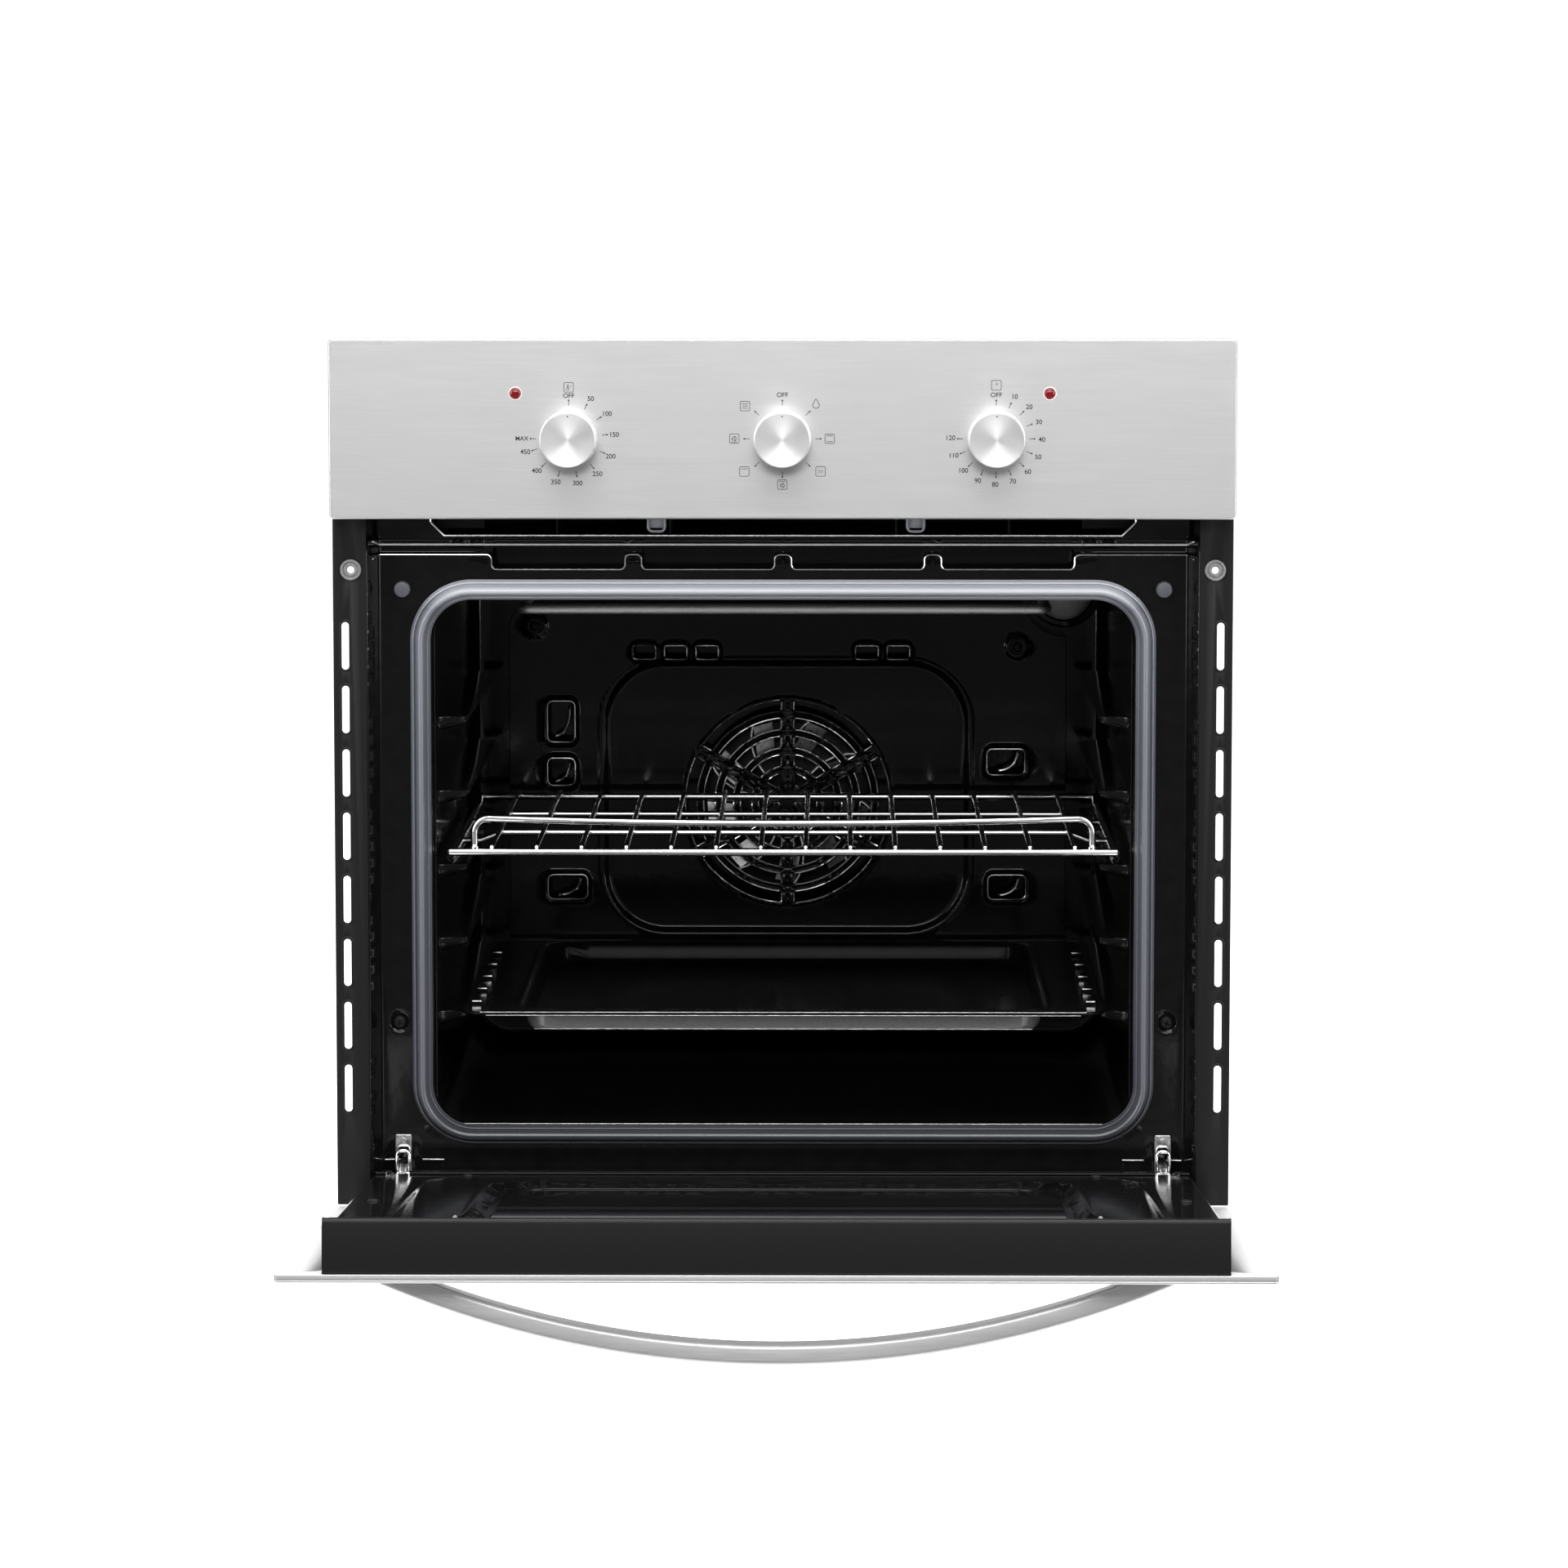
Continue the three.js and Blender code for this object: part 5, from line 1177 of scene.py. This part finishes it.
def tray_height(x, y):
    """Height of the pressed sheet at a point of its plan."""
    well = box_distance(x, y, *PAN, 22)
    z = RIM_Z - (RIM_Z - PAN_FLOOR) * smooth((-well - 0.3) / 5.0) + 0.8 * math.exp(-((well - 2.5) / 1.6) ** 2)
    for k in range(5):
        reach = math.hypot(max(0, abs(abs(x) - 208.6) - 2.4), y - (ty0 + 40 + 62 * k))
        z += 2.0 * (1 - smooth((reach - 0.8) / 2.4))
    edge = -box_distance(x, y, tx0 + 1.2, tx1 - 1.2, ty0 + 1.2, ty1 - 1.2, 15)
    return z + 0.5 * math.exp(-(edge / 2.0) ** 2)


tray_xs = lines((0, 160, 16), (160, 182, 1.1), (182, 202, 4), (202, 215, 1.3))
tray_ys = lines((ty0 + 1.2, ty0 + 10, 2.2), (ty0 + 10, ty0 + 27, 1.1), (ty0 + 27, ty1 - 30, 9),
                *[(ty0 + 36 + 62 * k, ty0 + 44 + 62 * k, 1.2) for k in range(5)], (ty1 - 30, ty1 - 12, 1.1), (ty1 - 12, ty1, 3))
plan = stamped(rounded_rect(tx0 + 1.2, tx1 - 1.2, ty0 + 1.2, ty1 - 1.2, 15, 8), [], sorted({s * x for x in tray_xs for s in (-1, 1)}),
               tray_ys, tray_height, edge_rings=(0.0, 1.0, 2.2))
sheet = [(x, z, y) for x, y, z in plan[0]], plan[1]
tray_piece = piece("tray_sheet", sheet, TRAY_ENAMEL, "baking_tray", "baking_tray", thick=0.8, offset=-1, facing=(0, 0, 1), sharp=60)
# The underside and outer walls take the grey painted-light finish.
tray_piece.data.materials.append(TRAY_BASE_PAINTED_LIGHT)
tray_piece.modifiers["thickness"].material_offset = 1
rim_path = [(x, y, RIM_Z - 0.9) for x, y in rounded_rect(tx0 + 1.5, tx1 - 1.5, ty0 + 1.5, ty1 - 1.5, 14.5, 10)]
piece("tray_rolled_rim", tube(rim_path, 1.5, 12, closed=True), TRAY_ENAMEL, "baking_tray")
# Painted highlights: bright lines along the tray's front rim, its pan floor and its ribs.
tray_highlight_lines = [tube([(-tx1 + 13, ty0 + 0.4, RIM_Z + 0.1), (tx1 - 13, ty0 + 0.4, RIM_Z + 0.1)], 0.45, 8),
               tube([(-tx1 + 17, ty0 + 0.3, RIM_Z - 2.0), (tx1 - 17, ty0 + 0.3, RIM_Z - 2.0)], 0.4, 8),
               tube([(-168, PAN[2] + 4.2, PAN_FLOOR - 0.1), (168, PAN[2] + 4.2, PAN_FLOOR - 0.1)], 0.6, 8)]
for k in range(5):
    for sign in (-1, 1):
        y = ty0 + 38.2 + 62 * k
        tray_highlight_lines.append(tube([(sign * 204.5, y, RIM_Z + 2.1), (sign * 211.5, y, RIM_Z + 2.1)], 0.9, 8))
piece("tray_painted_highlight_edges", merged(*tray_highlight_lines), PAINTED_HIGHLIGHT_EDGE, "baking_tray")

# ---- Cooling air duct ----
ax0, ax1, ay0, ay1, az0, az1 = corners("air_duct")
DUCT = (ax1, az0, az1)


def duct_loop(grow):
    half, low, high = DUCT
    points = [(-half, low + 9), (-half + 9, low), (half - 9, low), (half, low + 9), (half, high), (-half, high)]
    return grown(filleted(points, 2.2, 4), grow)


duct_shell = loft([at_y(duct_loop(d), y) for d, y in ((-1.0, ay1), (0, ay1), (0, ay0 + 0.6), (0.25, ay0 + 0.15), (0.1, ay0 - 0.2),
                                                      (-0.6, ay0 - 0.3), (-1.0, ay0 + 0.4))], loop=True)
tabs = [block(x - 0.5, x + 0.5, ay0 + 3, ay0 + 60, az0 + 0.6, az1 - 0.6, 0.2) for x in (-150, -75, 75, 150)]
for x in (-215, 215):
    tabs.append(block(x - 16, x + 16, ay0 + 14, ay0 + 15.5, az0 + 4, az1 - 1, 0.4))
piece("duct_shell", merged(duct_shell, *tabs), PAINT, "cabinet", "air_duct")
# Painted highlight: a bright line round the duct's front lip.
lip_path = [(x, ay0 - 0.3, z) for x, z in duct_loop(-0.4)]
piece("duct_lip_painted_highlight", tube(lip_path, 0.8, 10, closed=True), PAINTED_HIGHLIGHT_EDGE, "cabinet")
clips = []
for x in (-84, 88):
    clips.append(tube(filleted([(x - 5.5, ay0 + 4, az0 + 12), (x - 5.5, ay0 + 3, az0 + 3), (x + 5.5, ay0 + 3, az0 + 3),
                                (x + 5.5, ay0 + 4, az0 + 12)], 3, 5, closed=False), 0.9, 10))
    clips.append(block(x - 6.5, x + 6.5, ay0 + 5, ay0 + 16, az0 + 5, az1 - 2, 0.8))
# The clips sit high, so the silicone's height ramp gives them its lightest, painted-light tone.
piece("duct_clips", merged(*clips), SILICONE_PAINTED_SHADING, "cabinet")


# ---- Door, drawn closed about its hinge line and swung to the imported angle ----
hinge = next(j for j in frame["record"]["behaviour"]["joints"] if j["name"] == "door_hinge")
HINGE_AT = Vector(hinge["pos_m"])
OPEN = Matrix.Translation((0, HINGE_AT.y, HINGE_AT.z)) @ Matrix.Rotation(math.radians(85), 4, "X")
SKIN_Y, DOOR_LOW, DOOR_HIGH = -16.0, -22.0, 446.5
FRONT_HALF, BOX_HALF = px1, 269.3
BOX_Y, WALL_Y, PANEL_Y, CAP_Y = SKIN_Y + 5.3, 13.0, 14.5, 22.0
BOX_LOW, BOX_HIGH, CAP_DEEP = -14.0, 444.0, 11.0


def swept(section, x0, x1, edge=0.5):
    """A closed (y, z) outline drawn out along X, with its end rims eased."""
    flat = [(y, z) for y, z in section]
    rings = []
    for x, inset in ((x0, edge), (x0 + edge * 0.3, edge * 0.3), (x0 + edge, 0), (x1 - edge, 0), (x1 - edge * 0.3, edge * 0.3), (x1, edge)):
        rings.append([(x, y, z) for y, z in grown(flat, -inset)])
    return loft(rings)


def skin_height(x, z):
    edge = -box_distance(x, z, -FRONT_HALF, FRONT_HALF, DOOR_LOW, DOOR_HIGH, 2)
    y = SKIN_Y
    if edge < 1.6:
        y += 1.6 - math.sqrt(max(0.0, 2.56 - (1.6 - max(edge, 0)) ** 2))
    window = box_distance(x, z, *WINDOW, 6)
    if window < 1.4:
        y += 1.3 * (1 - smooth(window / 1.4))
    return y


WINDOW = (-205, 205, 73, 341.5)
skin_loop = rounded_rect(-FRONT_HALF, FRONT_HALF, DOOR_LOW, DOOR_HIGH, 2, 6)
window_loop = rounded_rect(*WINDOW, 6, 6)
skin_front = stamped(skin_loop, [window_loop], lines((-FRONT_HALF + 4, FRONT_HALF - 4, 24)), lines((DOOR_LOW + 4, DOOR_HIGH - 4, 24)),
                     skin_height, rings=(0, 0.5, 1.0, 1.5, 2.2, 4, 7, 12), edge_rings=(0, 0.2, 0.5, 1.0, 1.7, 3.0))
hem_loop = rounded_rect(29 - FRONT_HALF, FRONT_HALF - 29, DOOR_LOW + 29, DOOR_HIGH - 29, 2, 6)
bend = at_y(grown(skin_loop, -0.2), SKIN_Y + 4.85)
hem = loft([bend, at_y(grown(skin_loop, -0.7), SKIN_Y + 5.0), at_y(hem_loop, SKIN_Y + 5.0)], caps=False)
skin_rim = rim(skin_loop, [(0, SKIN_Y + 1.6), (0, SKIN_Y + 4.4), (-0.2, SKIN_Y + 4.85), (-0.9, SKIN_Y + 4.5), (-0.8, SKIN_Y + 1.6)],
               closed=True)
piece("door_skin_face", skin_front, STEEL, "door", "door_skin", place=OPEN, thick=0.8, offset=-1, sharp=50)
# The hem wears the lightened stainless, a painted light.
piece("door_skin_hem", hem, HEM_STEEL_PAINTED_LIGHT, "door", place=OPEN, thick=0.8, offset=-1, facing=(0, 1, 0), sharp=50)
# The skin's rim wears the darkened stainless, a painted shade.
piece("door_skin_rim", skin_rim, RIM_STEEL_PAINTED_SHADE, "door", place=OPEN, sharp=50)
glass_loop = rounded_rect(-230, 230, 48, 366.5, 4)
piece("door_window", slab(glass_loop, SKIN_Y + 1.5, SKIN_Y + 4.9, 0.5), GLASS, "door", "door_outer_glass", place=OPEN)

ARM_NOTCH = 7.0
notch_ends = sorted(s * HINGE_X + d for s in (-1, 1) for d in (-ARM_NOTCH - 0.03, -ARM_NOTCH, ARM_NOTCH, ARM_NOTCH + 0.03))
body_corners = rounded_rect(-BOX_HALF, BOX_HALF, BOX_LOW, BOX_HIGH - 3, 2, 4)
body_loop = []
for (x, z), (u, v) in zip(body_corners, body_corners[1:] + body_corners[:1]):
    body_loop.append((x, z))
    if max(z, v) < BOX_LOW + 0.01 and abs(u - x) > 100:
        body_loop += [(end, z) for end in (notch_ends if u > x else notch_ends[::-1])]
wall_points, wall_faces = rim(body_loop, [(0, BOX_Y + 0.6), (0, WALL_Y - 0.5), (-0.5, WALL_Y), (-1.0, WALL_Y), (-1.5, WALL_Y - 0.5), (-1.5, BOX_Y + 1.5),
                        (-46, BOX_Y + 1.5), (-46, BOX_Y), (-0.6, BOX_Y)], closed=True)
cap_low = BOX_HIGH - CAP_DEEP
cap = filleted([((BOX_Y, cap_low), 0.3), ((BOX_Y, BOX_HIGH), 1.3), ((CAP_Y, BOX_HIGH), 2.2), ((CAP_Y, cap_low), 0.4),
                ((CAP_Y - 1.6, cap_low), 0.4), ((CAP_Y - 1.6, BOX_HIGH - 1.6), 0.8), ((BOX_Y + 1.6, BOX_HIGH - 1.6), 0.8),
                ((BOX_Y + 1.6, cap_low), 0.3)], 1.0, 6)
in_notch = [z < BOX_LOW + 3 and abs(abs(x) - HINGE_X) < ARM_NOTCH + 0.01 for x, y, z in wall_points]
walls = [(x, min(y, -2.0) if cut else y, z) for (x, y, z), cut in zip(wall_points, in_notch)], wall_faces
piece("door_case", merged(walls, swept(cap, -BOX_HALF, BOX_HALF, 0.6)), PAINT, "door", "door_frame", place=OPEN, sharp=40)
cap_ends = [block(s * BOX_HALF - 0.8 - 0.7 * s, s * BOX_HALF + 0.8 - 0.7 * s, BOX_Y + 1.2, CAP_Y - 0.8, cap_low + 0.3, BOX_HIGH - 0.8, 0.2)
            for s in (-1, 1)]
piece("door_cap_ends", merged(*cap_ends), PAINT, "door", place=OPEN)

INNER_WINDOW = (-178, 178, 92, 354.5)
PANEL_LOW, PANEL_HIGH = 21.0, cap_low - 0.4


def inner_height(x, z):
    """Depth of the pressed inner panel; higher y is nearer the cavity when the door is shut."""
    y = PANEL_Y - 0.6
    window = box_distance(x, z, *INNER_WINDOW, 34)
    y -= 3.6 * (1 - smooth((window - 4.5) / 7))
    y += 0.9 * math.exp(-((window - 13.5) / 2.6) ** 2)
    bead = abs(box_distance(x, z, -236, 236, 44, 408, 30))
    y -= 1.1 * math.exp(-(bead / 3.2) ** 2)
    y += 0.4 * smooth((z - PANEL_HIGH + 4) / 3)
    return y


inner_loop = rounded_rect(-BOX_HALF, BOX_HALF, PANEL_LOW, PANEL_HIGH, 1.5, 3)
inner_hole = rounded_rect(*INNER_WINDOW, 34, 14)
throats = [rounded_rect(s * HINGE_X - 5.6, s * HINGE_X + 5.6, PANEL_LOW + 6, PANEL_LOW + 40, 1.5, 3) for s in (-1, 1)]
panel_xs = lines((-268, -242, 5), (-242, -230, 1.6), (-230, -200, 5), (-200, -178, 1.6), (-178, 178, 14), (178, 200, 1.6), (200, 230, 5),
                 (230, 242, 1.6), (242, 268, 5))
panel_zs = lines((23, 38, 4), (38, 50, 1.6), (50, 70, 5), (70, 92, 1.6), (92, 354, 14), (354, 376, 1.6), (376, 402, 5),
                 (402, 414, 1.6), (414, 432, 4))
inner_sheet = stamped(inner_loop, [inner_hole], panel_xs, panel_zs, inner_height, rings=(0, 0.8, 1.8, 3.0, 4.6), edge_rings=(0, 1.2))
piece("door_inner_sheet", inner_sheet, ENAMEL, "door", "door_inner_panel", place=OPEN, thick=1.0, offset=-1, facing=(0, 1, 0), sharp=60)
lip = filleted([((PANEL_Y - 0.4, PANEL_LOW + 8), 0.3), ((PANEL_Y + 0.9, PANEL_LOW + 8), 0.5), ((PANEL_Y + 1.3, PANEL_LOW + 0.6), 1.0),
                ((PANEL_Y - 9, PANEL_LOW - 0.4), 0.4), ((PANEL_Y - 9, PANEL_LOW + 1.0), 0.4), ((PANEL_Y - 0.6, PANEL_LOW + 2.2), 0.6)], 0.5, 4)
lips = [swept([(y, z) for y, z in lip], a, b, 0.3) for a, b in ((-BOX_HALF, -HINGE_X - 8), (-HINGE_X + 8, HINGE_X - 8), (HINGE_X + 8, BOX_HALF))]
piece("door_inner_lip", merged(*lips), ENAMEL, "door", place=OPEN, sharp=40)
inner_glass = rounded_rect(-190, 190, 80, 366.5, 40, 12)
# Painted highlight: a near-white line along the far rim of the inner pane.
far_line = filleted([(-196, 350), (-196, 372.5), (196, 372.5), (196, 350)], 30, 12, closed=False)
piece("door_inner_bead_painted_highlight", bead([(x, PANEL_Y + 0.4, z) for x, z in far_line], 1.3, closed=False), PAINTED_BRIGHT_HIGHLIGHT, "door", place=OPEN)
piece("door_inner_pane", slab(inner_glass, PANEL_Y - 8.8, PANEL_Y - 4.9, 1.4, 5), GLASS, "door", "door_inner_glass", place=OPEN)
panel_screws = []
for x, z in ((-207, 40), (207, 40), (-255, 415), (255, 415), (-255, 230), (255, 230)):
    head = [(0, 0.9), (1.6, 1.4), (3.2, 1.0), (3.9, 0.2), (3.9, -0.6), (0, -0.6)]
    panel_screws.append(moved(turned(head[::-1], count=24), x, PANEL_Y - 0.4, z))
piece("door_panel_screws", merged(*panel_screws), PAINT, "door", place=OPEN)

# ---- Handle: a bowed bar that runs down onto the skin ----
HANDLE_Z, HANDLE_OUT, HANDLE_IN, BOW = 404.5, 615.0, 602.0, 52.0
HANDLE_FACE = SKIN_Y - 0.3
centre_y = HANDLE_FACE + HANDLE_OUT - BOW
handle_half = math.asin(math.sqrt(HANDLE_OUT ** 2 - (HANDLE_OUT - BOW) ** 2) / HANDLE_OUT)
section = rounded_rect(HANDLE_IN, HANDLE_OUT, HANDLE_Z - 11, HANDLE_Z + 11, 3.2, 8)
stations = [handle_half * (2 * k / 80 - 1) for k in range(81)]
handle_rings = [[(r * math.sin(a), min(HANDLE_FACE, centre_y - r * math.cos(a)), z) for r, z in section] for a in stations]
piece("handle_bar", loft(handle_rings), HANDLE_STEEL, "door", "door_handle", place=OPEN, sharp=30)

# ---- Hinge parts on the cabinet ----
HINGE_Y = HINGE_AT.y / MM
for side, sign in SIDES:
    x = sign * HINGE_X
    rx0, rx1, ry0, ry1, rz0, rz1 = corners(f"{side}_hinge_receiver")
    face_loop = rounded_rect(rx0 + 0.1, rx1 - 0.1, rz0, rz1, 1.0, 4)
    throat = rounded_rect(x - 3.2, x + 3.2, rz0 + 3.4, rz1 - 8.5, 1.6, 5)
    mask = plate(face_loop, [throat], ry0, ry0 + 1.6, 0.35)
    sleeve = rim(rounded_rect(rx0 + 0.6, rx1 - 0.6, rz0 + 0.5, rz1 - 0.5, 1.0, 4), [(0, ry0 + 1), (0, ry1), (-1.2, ry1), (-1.2, ry0 + 1)],
                 closed=True)
    emboss = rim(rounded_rect(x - 3.9, x + 3.9, rz0 + 2.7, rz1 - 7.8, 2.2, 5),
                 curved([(-0.6, ry0 + 0.4), (-0.5, ry0 - 0.4), (0.2, ry0 - 0.8), (0.9, ry0 - 0.3), (0.9, ry0 + 0.4)], 2), closed=True)
    stud = moved(turned([(0, -1.0), (1.3, -0.9), (1.8, -0.2), (1.8, 0.6), (0, 0.6)], count=20), x, ry0, rz1 - 4)
    piece(f"{side}_receiver_plate", merged(mask, sleeve, emboss, stud), ZINC, "cabinet", f"{side}_hinge_receiver", sharp=40)
    rear = ry0
    side_view = [(HINGE_Y, 10 - 5.5), (HINGE_Y + 13, 8.4), (rear + 2, 11.4), (rear + 24, 11.4), (rear + 26.6, 18), (rear + 24.6, 33.5),
                 (rear + 19, 35.4), (rear + 15, 32), (rear + 10, 27), (rear - 4, 25), (HINGE_Y + 14, 22), (HINGE_Y, 15.6)]
    eye = [(HINGE_Y + 7.8 * math.cos(math.radians(a)), 10 + 7.8 * math.sin(math.radians(a))) for a in range(80, 281, 10)]
    outline = filleted([*side_view[1:-1], *[(p, 0.01) for p in eye]], 2.0, 4)
    piece(f"{side}_arm", swept(outline, x - 2.5, x + 2.5, 0.5), ZINC, "cabinet", f"{side}_hinge_arm", sharp=30)
    hx0, hx1, hy0, hy1, hz0, hz1 = corners(f"{side}_hinge_lock")
    clip_y, clip_z = hy0 + 1.4, hz0 + 1.2
    stirrup = filleted([(x - 4.2, clip_y, clip_z), (x - 4.2, clip_y + 2, clip_z + 15), (x + 4.2, clip_y + 2, clip_z + 15),
                        (x + 4.2, clip_y, clip_z)], 3.4, 8, closed=False)
    axle = tube([(hx0 + 0.2, clip_y, clip_z), (hx1 - 0.2, clip_y, clip_z)], 1.2, 14)
    piece(f"{side}_lock_clip", merged(tube(stirrup, 1.1, 14), axle), CHROME, f"{side}_hinge_lock", f"{side}_hinge_lock")


# ---- Camera, floor and lights ----
camera = bpy.data.objects.new("camera", bpy.data.cameras.new("camera"))
SCENE.collection.objects.link(camera)
SCENE.camera = camera
camera.location = (0.03404, -4.19505, 0.69548)
camera.rotation_euler = (math.radians(90 - 5.9905), 0, math.radians(0.4838))
camera.data.sensor_width = 36
camera.data.lens = 136.875
camera.data.clip_end = 60

SCENE.view_settings.view_transform = "Standard"


def floor():
    """A pale floor under and behind the oven, bright enough to meet the white surround without an edge."""
    mesh = bpy.data.meshes.new("floor")
    level, half, front, back = -0.25, 6.0, -0.8, 8.0
    mesh.from_pydata([(-half, front, level), (half, front, level), (half, back, level), (-half, back, level)],
                     [], [(0, 1, 2, 3)])
    slab = bpy.data.objects.new("floor", mesh)
    SCENE.collection.objects.link(slab)
    paint = Finish("floor_paint", roughness=0.9, Specular_IOR_Level=0.0, Emission_Color=(1, 1, 1, 1), Emission_Strength=0.72)
    paint.colour(paint.noise(3), grey(0.88), grey(0.92))
    mesh.materials.append(paint.material)


def softbox(name, place, target, size, power):
    data = bpy.data.lights.new(name, "AREA")
    data.shape = "RECTANGLE"
    data.size, data.size_y = size
    data.energy = power
    lamp = bpy.data.objects.new(name, data)
    SCENE.collection.objects.link(lamp)
    lamp.location = place
    lamp.rotation_euler = (Vector(target) - Vector(place)).to_track_quat("-Z", "Y").to_euler()


def surround():
    """White where the camera looks past the oven, a soft studio gradient where light comes from."""
    world = bpy.data.worlds.new("surround")
    SCENE.world = world
    world.use_nodes = True
    nodes, links = world.node_tree.nodes, world.node_tree.links
    nodes.clear()
    path = nodes.new("ShaderNodeLightPath")
    seen = nodes.new("ShaderNodeBackground")
    lit = nodes.new("ShaderNodeBackground")
    mix = nodes.new("ShaderNodeMixShader")
    out = nodes.new("ShaderNodeOutputWorld")
    where = nodes.new("ShaderNodeTexCoord")
    split = nodes.new("ShaderNodeSeparateXYZ")
    height = nodes.new("ShaderNodeMapRange")
    links.new(where.outputs["Generated"], split.inputs["Vector"])
    links.new(split.outputs["Z"], height.inputs["Value"])
    height.inputs["From Min"].default_value = -0.1
    height.inputs["From Max"].default_value = 0.7
    height.inputs["To Min"].default_value = 0.30
    height.inputs["To Max"].default_value = 0.75
    seen.inputs["Color"].default_value = (1, 1, 1, 1)
    seen.inputs["Strength"].default_value = 1.05
    below = nodes.new("ShaderNodeMapRange")
    links.new(split.outputs["Z"], below.inputs["Value"])
    below.inputs["From Min"].default_value = -0.15
    below.inputs["From Max"].default_value = -0.6
    below.inputs["To Min"].default_value = 0.0
    below.inputs["To Max"].default_value = 0.45
    total = nodes.new("ShaderNodeMath")
    links.new(height.outputs["Result"], total.inputs[0])
    links.new(below.outputs["Result"], total.inputs[1])
    links.new(total.outputs["Value"], lit.inputs["Strength"])
    links.new(path.outputs["Is Camera Ray"], mix.inputs["Fac"])
    links.new(lit.outputs[0], mix.inputs[1])
    links.new(seen.outputs[0], mix.inputs[2])
    links.new(mix.outputs[0], out.inputs["Surface"])


floor()
surround()
softbox("left_softbox", (-2.6, -2.4, 1.2), (0, -0.2, 0.3), (1.2, 2.4), 75)
softbox("right_softbox", (2.6, -2.4, 1.2), (0, -0.2, 0.3), (1.2, 2.4), 75)
softbox("front_softbox", (0, -3.7, 1.75), (0, -0.2, 0.25), (2.6, 0.9), 45)
softbox("top_softbox", (0, -1.9, 2.6), (0, -0.2, 0.25), (2.6, 1.0), 70)
softbox("overhead_softbox", (0, 0.6, 3.2), (0, 0.4, 0.0), (3.0, 3.0), 120)
